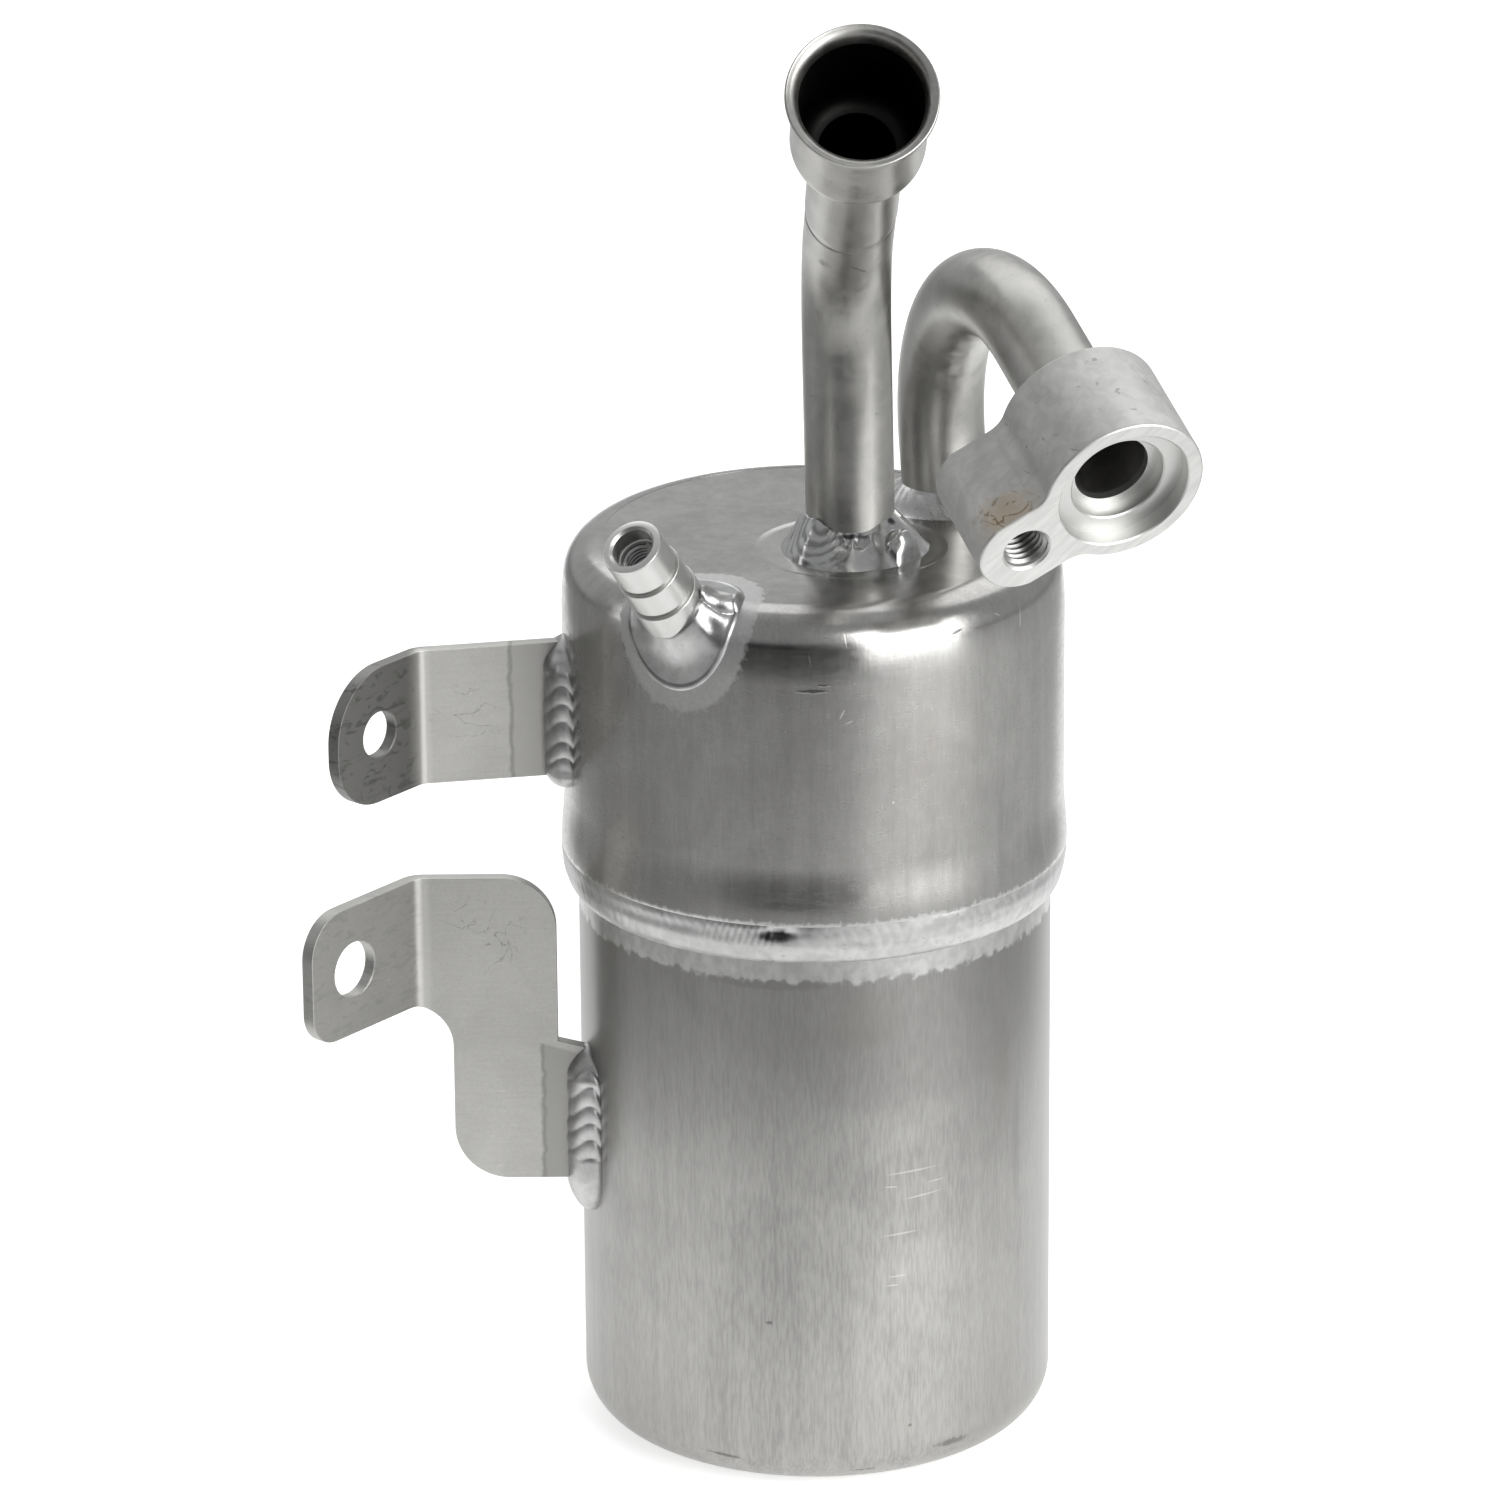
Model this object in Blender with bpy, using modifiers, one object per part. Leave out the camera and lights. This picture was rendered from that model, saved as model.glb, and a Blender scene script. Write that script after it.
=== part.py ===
"""Suction line accumulator, modelled in metres with +Z up.

A two-piece aluminium can stands on its flat bottom, and the centre of that bottom is the
origin. Gas comes in through a bent tube with a flared socket, and leaves through a bent
tube with a bolt-on block. A service port sits on the shoulder, and two folded brackets
are welded to the -X side. Inside are the pickup tube, its oil bleed filter, the vapour
baffle and the strapped desiccant bag.
"""

import math

import bmesh
import bpy
from mathutils import Matrix, Vector

MM = 0.001

# Gap kept between pieces that touch on the real object
CLEARANCE = 0.3 * MM

# Facets round the can and round the tubes
CAN_SEGMENTS = 48
TUBE_SEGMENTS = 20
CORNER_STEPS = 5
BEND_STEP = math.radians(10.5)

# Can: the upper shell is a cup turned down over the lower one
CAN_HEIGHT = 168.0 * MM
CAN_RADIUS = 45.0 * MM
UPPER_WALL = 2.0 * MM
UPPER_END = 3.5 * MM
UPPER_CORNER = 7.0 * MM
LOWER_WALL = 2.0 * MM
LOWER_END = 3.5 * MM
LOWER_CORNER = 8.0 * MM
UPPER_DEPTH = 57.7 * MM
SKIRT_FLARE = 0.6 * MM
SKIRT_FLARE_LENGTH = 6.0 * MM
SHELL_LAP = 12.0 * MM
GIRTH_WELD_HEIGHT = 7.6 * MM

# Inlet tube: rises from the top, then leans towards -Y
INLET_PLACE = (6.7 * MM, -7.2 * MM)
INLET_LEAN = math.radians(0.9)
INLET_RADIUS = 7.9 * MM
INLET_WALL = 1.25 * MM
INLET_INSIDE = 6.0 * MM
INLET_RISE = 37.5 * MM
INLET_BEND_RADIUS = 30.0 * MM
INLET_BEND_ANGLE = math.radians(51.6)
INLET_HEADING = math.radians(-87.2)
INLET_REACH = 63.8 * MM
INLET_WELD_RADIUS = 11.8 * MM
INLET_WELD_HEIGHT = 4.6 * MM

# Socket formed on the end of the inlet tube, measured back from its mouth
SOCKET_RADIUS = 11.6 * MM
SOCKET_WALL = 0.95 * MM
SOCKET_DEPTH = 18.9 * MM
SOCKET_SHOULDER = 5.0 * MM
LIP_RADIUS = 13.0 * MM
LIP_LENGTH = 3.2 * MM
NECK_RADIUS = 8.05 * MM
NECK_LENGTH = 26.0 * MM

# Outlet tube: rises near the can's edge and turns over towards the block
OUTLET_INSET = 14.575 * MM
OUTLET_AZIMUTH = math.radians(37.924)
OUTLET_RADIUS = 7.8 * MM
OUTLET_WALL = 1.1 * MM
OUTLET_INSIDE = 12.0 * MM
OUTLET_SQUARE_RISE = 3.0 * MM
OUTLET_LEAN = math.radians(4.0)
OUTLET_LEAN_HEADING = math.radians(200)
OUTLET_LEAN_RADIUS = 30.0 * MM
OUTLET_RISE = 7.0 * MM
OUTLET_BEND_RADIUS = 36.5 * MM
OUTLET_BEND_ANGLE = math.radians(112.9)
OUTLET_HEADING = math.radians(-70.1)
OUTLET_REACH = 33.5 * MM
OUTLET_WELD_RADIUS = 11.4 * MM
OUTLET_WELD_HEIGHT = 4.0 * MM

# Outlet block: a pear-shaped prism with a stepped bore and one bolt hole
BLOCK_ROLL = math.radians(33.2)
BLOCK_THICKNESS = 21.3 * MM
BLOCK_RADIUS = 14.5 * MM
BLOCK_EAR_RADIUS = 8.0 * MM
BLOCK_EAR_REACH = 20.0 * MM
BLOCK_WAIST = 15.5 * MM
BLOCK_WAIST_FILLET = 5.0 * MM
BLOCK_EDGE = 0.5 * MM
SEAT_RADIUS = 11.8 * MM
SEAT_DEPTH = 3.0 * MM
STEP_RADIUS = 8.4 * MM
STEP_DEPTH = 3.0 * MM
STOP_THICKNESS = 1.5 * MM
BOLT_REACH = 19.4 * MM
BOLT_HOLE_RADIUS = 3.4 * MM
BOLT_CHAMFER = 0.8 * MM

# Service port, on the shoulder: lengths run back from its mouth
PORT_AZIMUTH = math.radians(235)
PORT_ELEVATION = math.radians(50)
PORT_HEIGHT = 19.9 * MM
PORT_RADIUS = 5.5 * MM
PORT_GROOVES = (6.6 * MM, 13.2 * MM)
PORT_GROOVE_WIDTH = 0.8 * MM
PORT_GROOVE_DEPTH = 0.5 * MM
PORT_STEP = 0.35 * MM
PORT_EDGE = 0.5 * MM
PORT_MOUTH_RADIUS = 3.7 * MM
PORT_MOUTH_DEPTH = 3.5 * MM
PORT_THREAD_RADIUS = 2.6 * MM
PORT_THREAD_DEPTH = 13.0 * MM
PORT_BORE_RADIUS = 1.6 * MM
PORT_TAIL_RADIUS = 5.0 * MM
PORT_TAIL_LENGTH = 1.0 * MM
PORT_WELD_RADIUS = 10.4 * MM
PORT_WELD_HEIGHT = 4.8 * MM
PORT_WELD_SHIFT = 1.0 * MM

# Brackets: folded sheet, with the tabs turned the same way, both placed from the waist
SHEET = 2.5 * MM
FOLD_RADIUS = 2.5 * MM
FOLD_STEPS = 4
TAB_HEADING = math.radians(230)
UPPER_PLATE_HEADING = math.radians(190)
UPPER_PLATE_LENGTH = 26.0 * MM
UPPER_TAB_LENGTH = 22.0 * MM
UPPER_TAB_TOP_CORNER = 12.5 * MM
UPPER_TAB_BOTTOM_CORNER = 10.0 * MM
UPPER_BRACKET_HEIGHT = 25.3 * MM
UPPER_BRACKET_RISE = 15.3 * MM
UPPER_HOLE_RADIUS = 4.25 * MM
UPPER_HOLE_REACH = 11.0 * MM
LOWER_PLATE_OFFSET = 12.0 * MM
LOWER_PLATE_LENGTH = 26.5 * MM
LOWER_TAB_LENGTH = 28.0 * MM
LOWER_TAB_TOP_CORNER = 8.0 * MM
LOWER_TAB_BOTTOM_CORNER = 6.0 * MM
LOWER_ARM_DROP = 3.0 * MM
LOWER_ARM_HEIGHT = 24.4 * MM
LOWER_ARM_GAP = 2.6 * MM
LOWER_ARM_CORNER = 10.0 * MM
LOWER_LEG_LENGTH = 34.1 * MM
LOWER_LEG_WIDTH = 23.6 * MM
LOWER_LEG_CORNER = 10.0 * MM
LOWER_FOOT_HEIGHT = 25.6 * MM
LOWER_FOOT_RISE = 1.2 * MM
LOWER_INNER_FILLET = 8.2 * MM
LOWER_HOLE_RADIUS = 5.2 * MM
LOWER_HOLE_REACH = 16.8 * MM
BRACKET_BEAD_RADIUS = 7.0 * MM
BRACKET_BEAD_DEPTH = 4.0 * MM
UPPER_BEAD_ENDS = (2.2 * MM, 1.0 * MM)
LOWER_BEAD_ENDS = (6.5 * MM, -0.8 * MM)
BEAD_TAPER = 3.5 * MM

# Pickup tube: pushed up into the outlet tube, down to the sump and up again
PICKUP_WALL = 1.0 * MM
PICKUP_LAP = 8.0 * MM
PICKUP_BEND_RADIUS = 20.0 * MM
PICKUP_SUMP_HEIGHT = 24.0 * MM
PICKUP_MOUTH_GAP = 8.0 * MM
BLEED_HOLE_RADIUS = 0.8 * MM

# Vapour baffle: a dished cover over the pickup tube's open end
BAFFLE_MARGIN = 8.0 * MM
BAFFLE_WALL = 1.2 * MM
BAFFLE_DROP = 22.0 * MM
BAFFLE_RISE = 2.5 * MM
BAFFLE_SKIRT = 8.0 * MM
BAFFLE_COLLAR_WALL = 1.5 * MM
BAFFLE_COLLAR_LENGTH = 5.0 * MM

# Desiccant bag between the legs of the pickup tube, and its strap
BAG_THICKNESS = 33.0 * MM
BAG_HEADROOM = 18.0 * MM
BAG_BASE = 50.0 * MM
STRAP_WALL = 1.0 * MM
STRAP_WIDTH = 5.0 * MM

# Oil bleed filter, a windowed cup hung under the pickup tube's bend
FILTER_RADIUS = 8.0 * MM
FILTER_WALL = 1.2 * MM
FILTER_BASE = 5.5 * MM
FILTER_FLOOR = 1.4 * MM
FILTER_SADDLE = 2.4 * MM
WINDOW_HEIGHT = 5.5 * MM
WINDOW_WIDTH = 6.0 * MM
SCREEN_WALL = 0.5 * MM

# Sizes that follow from the ones above
LOWER_RADIUS = CAN_RADIUS - UPPER_WALL - CLEARANCE
SKIRT_HEIGHT = CAN_HEIGHT - UPPER_DEPTH
UPPER_BRACKET_BASE = SKIRT_HEIGHT + UPPER_BRACKET_RISE
LOWER_ARM_BASE = SKIRT_HEIGHT - LOWER_ARM_DROP - LOWER_ARM_HEIGHT
LOWER_LEG_BASE = LOWER_ARM_BASE - LOWER_LEG_LENGTH
UPPER_PLATE_REACH = CAN_RADIUS + UPPER_PLATE_LENGTH
LOWER_PLATE_REACH = CAN_RADIUS + LOWER_PLATE_LENGTH
OUTLET_PLACE = ((CAN_RADIUS - OUTLET_INSET) * math.cos(OUTLET_AZIMUTH),
                (CAN_RADIUS - OUTLET_INSET) * math.sin(OUTLET_AZIMUTH))
BAFFLE_RADIUS = CAN_RADIUS - UPPER_WALL - BAFFLE_MARGIN
BAFFLE_HEIGHT = CAN_HEIGHT - BAFFLE_DROP
PICKUP_END_HEIGHT = BAFFLE_HEIGHT - PICKUP_MOUTH_GAP
BAG_LENGTH = BAFFLE_HEIGHT - BAFFLE_SKIRT - BAG_HEADROOM - BAG_BASE
BLOCK_STOP_DEPTH = SEAT_DEPTH + STEP_DEPTH + STOP_THICKNESS
PICKUP_RADIUS = OUTLET_RADIUS - OUTLET_WALL - CLEARANCE
LONG = 2 * CAN_HEIGHT


def clear_scene():
    for obj in list(bpy.data.objects):
        bpy.data.objects.remove(obj, do_unlink=True)


def new_collection(name, shown):
    collection = bpy.data.collections.new(name)
    bpy.context.scene.collection.children.link(collection)
    collection.hide_render = not shown
    return collection


clear_scene()
PARTS = new_collection("suction_line_accumulator", True)
CUTTERS = new_collection("cutters", False)


def paint(obj, colour, roughness, metallic):
    """Gives a piece its own Principled material."""
    material = bpy.data.materials.new(obj.name)
    material.use_nodes = True
    shader = material.node_tree.nodes["Principled BSDF"]
    shader.inputs["Base Color"].default_value = (*colour, 1.0)
    shader.inputs["Roughness"].default_value = roughness
    shader.inputs["Metallic"].default_value = metallic
    obj.data.materials.append(material)


def add_object(name, mesh, place=None):
    """Puts a mesh in the collection of parts, at the given matrix."""
    obj = bpy.data.objects.new(name, mesh)
    if place is not None:
        obj.matrix_world = place
    PARTS.objects.link(obj)
    return obj


def as_cutter(obj):
    PARTS.objects.unlink(obj)
    CUTTERS.objects.link(obj)
    obj.hide_render = True
    obj.display_type = "WIRE"
    return obj


def boolean(obj, other, operation="DIFFERENCE"):
    modifier = obj.modifiers.new(f"{operation.lower()} {other.name}", "BOOLEAN")
    modifier.operation = operation
    modifier.object = other
    modifier.solver = "EXACT"


def turned(name, profile, place=None, segments=CAN_SEGMENTS, closed=False):
    """A profile of (radius, height) points, spun about the local Z axis."""
    edges = [(i, i + 1) for i in range(len(profile) - 1)]
    if closed:
        edges.append((len(profile) - 1, 0))
    mesh = bpy.data.meshes.new(name)
    mesh.from_pydata([(r, 0.0, z) for r, z in profile], edges, [])
    obj = add_object(name, mesh, place)
    screw = obj.modifiers.new("spin", "SCREW")
    screw.steps = segments
    screw.render_steps = segments
    screw.use_merge_vertices = True
    screw.merge_threshold = 0.00001
    screw.use_smooth_shade = True
    return obj


def arc(centre, radius, start, end, steps=CORNER_STEPS):
    """Points of an arc in degrees, both ends included."""
    angles = [math.radians(start + (end - start) * i / steps) for i in range(steps + 1)]
    return [(centre[0] + radius * math.cos(a), centre[1] + radius * math.sin(a)) for a in angles]


def frame_at(point, z_axis, x_hint):
    """A matrix at a point, with its Z axis along z_axis and its X axis near x_hint."""
    z = Vector(z_axis).normalized()
    x = (Vector(x_hint) - z * z.dot(Vector(x_hint))).normalized()
    rotation = Matrix((x, z.cross(x), z)).transposed().to_4x4()
    return Matrix.Translation(point) @ rotation


def heading(angle):
    return Vector((math.cos(angle), math.sin(angle), 0.0))


def straight(path, direction, length):
    """Adds a straight run to a tube's centreline."""
    path.append(path[-1] + direction * length)
    return direction


def bend(path, direction, toward, radius, angle):
    """Adds a bend to a tube's centreline and returns the new direction."""
    side = (toward - direction * direction.dot(toward)).normalized()
    centre = path[-1] + side * radius
    steps = max(1, round(angle / BEND_STEP))
    for i in range(1, steps + 1):
        a = angle * i / steps
        path.append(centre + direction * radius * math.sin(a) - side * radius * math.cos(a))
    return direction * math.cos(angle) + side * math.sin(angle)


def lengths_along(path):
    lengths = [0.0]
    for start, end in zip(path, path[1:]):
        lengths.append(lengths[-1] + (end - start).length)
    return lengths


def value_at(profile, length):
    """The radius that a profile of (length, radius) points has at a length."""
    for (s0, r0), (s1, r1) in zip(profile, profile[1:]):
        if s0 <= length <= s1:
            return r0 + (r1 - r0) * (length - s0) / (s1 - s0)
    return profile[0][1] if length < profile[0][0] else profile[-1][1]


def rod(name, path, profile, segments=TUBE_SEGMENTS):
    """A solid along a path, whose radius follows a profile of (length, radius) points."""
    lengths = lengths_along(path)
    stations = sorted(set(lengths) | {s for s, _ in profile if 0 < s < lengths[-1]})
    stations = [s for i, s in enumerate(stations) if i == 0 or s - stations[i - 1] > 0.02 * MM]
    widest = max(r for _, r in profile)
    curve = bpy.data.curves.new(name, "CURVE")
    curve.dimensions = "3D"
    curve.bevel_depth = widest
    curve.bevel_resolution = (segments - 4) // 2
    curve.use_fill_caps = True
    spline = curve.splines.new("POLY")
    spline.points.add(len(stations) - 1)
    for point, s in zip(spline.points, stations):
        i = max(k for k, length in enumerate(lengths) if length <= s)
        i = min(i, len(path) - 2)
        share = (s - lengths[i]) / (lengths[i + 1] - lengths[i])
        point.co = (*path[i].lerp(path[i + 1], share), 1.0)
        point.radius = value_at(profile, s) / widest
    return meshed(curve, name)


def meshed(curve, name):
    """Turns a curve into a mesh object with welded caps."""
    holder = bpy.data.objects.new(name + "_curve", curve)
    PARTS.objects.link(holder)
    bpy.context.view_layer.update()
    graph = bpy.context.evaluated_depsgraph_get()
    mesh = bpy.data.meshes.new_from_object(holder.evaluated_get(graph))
    bpy.data.objects.remove(holder, do_unlink=True)
    shape = bmesh.new()
    shape.from_mesh(mesh)
    bmesh.ops.remove_doubles(shape, verts=shape.verts, dist=0.001 * MM)
    bmesh.ops.recalc_face_normals(shape, faces=shape.faces)
    shape.to_mesh(mesh)
    shape.free()
    mesh.name = name
    return add_object(name, mesh)


def even(radius):
    return [(0.0, radius), (LONG, radius)]


def extended(path, length):
    """The same path, run on by a length at both ends."""
    first = path[0] + (path[0] - path[1]).normalized() * length
    last = path[-1] + (path[-1] - path[-2]).normalized() * length
    return [first] + path + [last]


def tube(name, path, outer, inner):
    """A bent tube with separate outer and inner profiles."""
    run = 1.0 * MM
    body = rod(name, path, outer)
    bore_path = extended(path, run)
    bore = as_cutter(rod(name + "_bore", bore_path, [(s + run, r) for s, r in inner]))
    boolean(body, bore)
    return body


def flat_solid(name, outlines, thickness):
    """A plate in the local XY plane: the first outline is its edge, the rest are holes."""
    curve = bpy.data.curves.new(name, "CURVE")
    curve.dimensions = "2D"
    curve.fill_mode = "BOTH"
    curve.extrude = thickness / 2
    for outline in outlines:
        spline = curve.splines.new("POLY")
        spline.points.add(len(outline) - 1)
        for point, (x, y) in zip(spline.points, outline):
            point.co = (x, y, 0.0, 1.0)
        spline.use_cyclic_u = True
    return meshed(curve, name)


def prism(name, outline, thickness, place):
    """A solid with single-faced ends: its top is the local XY plane."""
    shape = bmesh.new()
    base = shape.faces.new([shape.verts.new((x, y, -thickness)) for x, y in outline])
    top = bmesh.ops.extrude_face_region(shape, geom=[base])["geom"]
    moved = [item for item in top if isinstance(item, bmesh.types.BMVert)]
    bmesh.ops.translate(shape, vec=(0, 0, thickness), verts=moved)
    bmesh.ops.recalc_face_normals(shape, faces=shape.faces)
    mesh = bpy.data.meshes.new(name)
    shape.to_mesh(mesh)
    shape.free()
    return add_object(name, mesh, place)


def circle(centre, radius, segments=TUBE_SEGMENTS):
    return arc(centre, radius, 0, 360 * (segments - 1) / segments, segments - 1)


def can_outline(offset=0.0):
    """Outside of both shells with the waist left out, from the top down."""
    top_arc = arc((CAN_RADIUS - UPPER_CORNER, CAN_HEIGHT - UPPER_CORNER), UPPER_CORNER + offset, 90, 0)
    foot = LOWER_RADIUS + offset
    base_arc = arc((LOWER_RADIUS - LOWER_CORNER, LOWER_CORNER), LOWER_CORNER + offset, 0, -90)
    skirt = CAN_RADIUS + offset
    return (
        [(0.0, CAN_HEIGHT + offset)]
        + top_arc
        + [(skirt, SKIRT_HEIGHT), (foot, SKIRT_HEIGHT)]
        + base_arc
        + [(0.0, -offset)]
    )


def make_shells(inlet_hole, outlet_hole, port_hole):
    """The two cups of the can and the weld that joins them."""
    inner_top = CAN_HEIGHT - UPPER_END
    inner_radius = CAN_RADIUS - UPPER_WALL
    inner_corner = UPPER_CORNER - UPPER_WALL
    flare_top = SKIRT_HEIGHT + SKIRT_FLARE_LENGTH
    profile = [(0.0, CAN_HEIGHT)]
    profile += arc((CAN_RADIUS - UPPER_CORNER, CAN_HEIGHT - UPPER_CORNER), UPPER_CORNER, 90, 0)
    profile += [(CAN_RADIUS, flare_top)]
    profile += [(CAN_RADIUS + SKIRT_FLARE, SKIRT_HEIGHT + SKIRT_FLARE_LENGTH / 2)]
    profile += [(CAN_RADIUS + SKIRT_FLARE, SKIRT_HEIGHT), (inner_radius, SKIRT_HEIGHT)]
    profile += arc((inner_radius - inner_corner, inner_top - inner_corner), inner_corner, 0, 90)
    profile += [(0.0, inner_top)]
    upper = turned("upper_shell", profile)
    for hole in (inlet_hole, outlet_hole, port_hole):
        boolean(upper, hole)
    paint(upper, (0.62, 0.62, 0.61), 0.34, 1.0)

    rim = SKIRT_HEIGHT + SHELL_LAP
    bore = LOWER_RADIUS - LOWER_WALL
    inner_corner = LOWER_CORNER - LOWER_WALL
    profile = [(0.0, LOWER_END)]
    profile += arc((bore - inner_corner, LOWER_END + inner_corner), inner_corner, -90, 0)
    profile += [(bore, rim), (LOWER_RADIUS, rim)]
    profile += arc((LOWER_RADIUS - LOWER_CORNER, LOWER_CORNER), LOWER_CORNER, 0, -90)
    profile += [(0.0, 0.0)]
    lower = turned("lower_shell", profile)
    paint(lower, (0.58, 0.58, 0.57), 0.38, 1.0)

    top = SKIRT_HEIGHT - CLEARANCE
    root = LOWER_RADIUS + CLEARANCE
    width = CAN_RADIUS + SKIRT_FLARE - root
    bead = [(root, top)]
    for i in range(CORNER_STEPS + 1):
        a = math.radians(90 * i / CORNER_STEPS)
        bead.append((root + width * math.cos(a), top - GIRTH_WELD_HEIGHT * math.sin(a)))
    weld = turned("girth_weld", bead, closed=True)
    paint(weld, (0.66, 0.66, 0.65), 0.22, 1.0)


def ring_weld(name, root, toe, height, place, cutters):
    """A fillet weld round a tube or boss, cut to the surfaces that it joins."""
    below = 6.0 * MM
    profile = [(root - 1.0 * MM, height)]
    for i in range(CORNER_STEPS + 1):
        a = math.radians(90 * i / CORNER_STEPS)
        profile.append((root + (toe - root) * math.sin(a), height * math.cos(a) ** 0.8))
    profile += [(toe, -below), (root - 1.0 * MM, -below)]
    weld = turned(name, profile, place, segments=32, closed=True)
    for cutter in cutters:
        boolean(weld, cutter)
    paint(weld, (0.70, 0.70, 0.69), 0.18, 1.0)
    return weld


def inlet_path():
    lean = heading(math.pi) * math.sin(INLET_LEAN)
    direction = (lean + Vector((0, 0, 1)) * math.cos(INLET_LEAN)).normalized()
    base = Vector((*INLET_PLACE, CAN_HEIGHT))
    path = [base - direction * (UPPER_END + INLET_INSIDE)]
    direction = straight(path, direction, UPPER_END + INLET_INSIDE + INLET_RISE)
    direction = bend(path, direction, heading(INLET_HEADING), INLET_BEND_RADIUS, INLET_BEND_ANGLE)
    straight(path, direction, INLET_REACH)
    return path


def make_inlet_tube(path):
    """Bent tube whose far end is swollen into a socket with a rolled lip."""
    length = lengths_along(path)[-1]
    socket_bore = SOCKET_RADIUS - SOCKET_WALL
    lip_bore = LIP_RADIUS - SOCKET_WALL / 2
    shoulder = SOCKET_DEPTH + SOCKET_SHOULDER
    neck_step = 0.8 * MM
    outer = [(0.0, INLET_RADIUS), (length - shoulder - NECK_LENGTH, INLET_RADIUS)]
    outer.append((length - shoulder - NECK_LENGTH + neck_step, NECK_RADIUS))
    inner = [(0.0, INLET_RADIUS - INLET_WALL)]
    for i in range(CORNER_STEPS + 1):
        a = math.radians(90 * i / CORNER_STEPS)
        back = SOCKET_DEPTH + SOCKET_SHOULDER * math.cos(a)
        outer.append((length - back, NECK_RADIUS + (SOCKET_RADIUS - NECK_RADIUS) * math.sin(a)))
        bore = INLET_RADIUS - INLET_WALL
        inner.append((length - back + SOCKET_WALL, bore + (socket_bore - bore) * math.sin(a)))
    for i in range(CORNER_STEPS + 1):
        a = math.radians(90 * i / CORNER_STEPS)
        share = math.sin(a)
        outer.append((length - LIP_LENGTH + LIP_LENGTH * 0.65 * share,
                      SOCKET_RADIUS + (LIP_RADIUS - SOCKET_RADIUS) * (1 - math.cos(a))))
        inner.append((length - LIP_LENGTH + LIP_LENGTH * share,
                      socket_bore + (lip_bore - socket_bore) * (1 - math.cos(a))))
    outer.append((length, LIP_RADIUS - 0.2 * MM))
    body = tube("inlet_tube", path, outer, inner)
    paint(body, (0.56, 0.56, 0.54), 0.42, 1.0)


def outlet_path():
    """Centreline of the outlet tube, its end direction and the point where the bend starts."""
    up = Vector((0, 0, 1))
    inside = UPPER_END + OUTLET_INSIDE
    path = [Vector((*OUTLET_PLACE, CAN_HEIGHT - inside))]
    straight(path, up, inside + OUTLET_SQUARE_RISE)
    direction = bend(path, up, heading(OUTLET_LEAN_HEADING), OUTLET_LEAN_RADIUS, OUTLET_LEAN)
    straight(path, direction, OUTLET_RISE)
    toward = heading(OUTLET_HEADING)
    direction = bend(path, direction, toward, OUTLET_BEND_RADIUS, OUTLET_BEND_ANGLE)
    straight(path, direction, OUTLET_REACH)
    return path, direction


def block_place(path, direction):
    """Matrix on the block's sealing face: Z leaves the face, X runs from the bolt to the bore."""
    level = Vector((0, 0, 1)).cross(direction).normalized()
    rise = direction.cross(level)
    x_axis = level * math.cos(BLOCK_ROLL) + rise * math.sin(BLOCK_ROLL)
    return frame_at(path[-1] + direction * BLOCK_STOP_DEPTH, direction, x_axis)


def block_outline():
    """Two lobes joined by a waist, with hollow fillets into the large lobe."""
    half = BLOCK_WAIST / 2
    reach = BLOCK_RADIUS + BLOCK_WAIST_FILLET
    rise = half + BLOCK_WAIST_FILLET
    fillet_x = -math.sqrt(reach**2 - rise**2)
    contact = math.degrees(math.atan2(rise, fillet_x))
    ear = math.degrees(math.asin(min(1.0, half / BLOCK_EAR_RADIUS)))
    points = arc((0, 0), BLOCK_RADIUS, -contact, contact, 4 * CORNER_STEPS)
    points += arc((fillet_x, rise), BLOCK_WAIST_FILLET, contact - 180, -90)[1:]
    points += arc((-BLOCK_EAR_REACH, 0), BLOCK_EAR_RADIUS, 180 - ear, 180 + ear, 3 * CORNER_STEPS)
    points += arc((fillet_x, -rise), BLOCK_WAIST_FILLET, 90, 180 - contact)[:-1]
    return points


def make_outlet(path, direction, tube_hole):
    """The outlet tube and the bolt-on block that it ends in."""
    body = tube("outlet_tube", path, even(OUTLET_RADIUS), even(OUTLET_RADIUS - OUTLET_WALL))
    paint(body, (0.55, 0.55, 0.53), 0.36, 1.0)

    face = block_place(path, direction)
    block = prism("outlet_block", block_outline(), BLOCK_THICKNESS, face)
    bevel = block.modifiers.new("edge", "BEVEL")
    bevel.width = BLOCK_EDGE
    bevel.segments = 1
    bevel.limit_method = "ANGLE"
    bevel.angle_limit = math.radians(60)
    proud = 1.0 * MM
    seat = -SEAT_DEPTH
    step = seat - STEP_DEPTH
    bore = OUTLET_RADIUS - OUTLET_WALL
    profile = [(0.0, proud), (SEAT_RADIUS, proud), (SEAT_RADIUS, seat), (STEP_RADIUS, seat)]
    profile += [(STEP_RADIUS, step), (bore, step), (bore, step - STOP_THICKNESS - proud)]
    profile += [(0.0, step - STOP_THICKNESS - proud)]
    boolean(block, as_cutter(turned("block_seat", profile, face, segments=48)))
    mouth = BOLT_HOLE_RADIUS + BOLT_CHAMFER
    through = BLOCK_THICKNESS + proud
    profile = [(0.0, proud), (mouth + proud, proud), (BOLT_HOLE_RADIUS, -BOLT_CHAMFER)]
    profile += [(BOLT_HOLE_RADIUS, BOLT_CHAMFER - BLOCK_THICKNESS), (mouth + proud, -through)]
    profile += [(0.0, -through)]
    bolt_place = face @ Matrix.Translation((-BOLT_REACH, 0, 0))
    boolean(block, as_cutter(turned("block_bolt_hole", profile, bolt_place, segments=24)))
    boolean(block, tube_hole)
    paint(block, (0.63, 0.63, 0.61), 0.5, 1.0)


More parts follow.
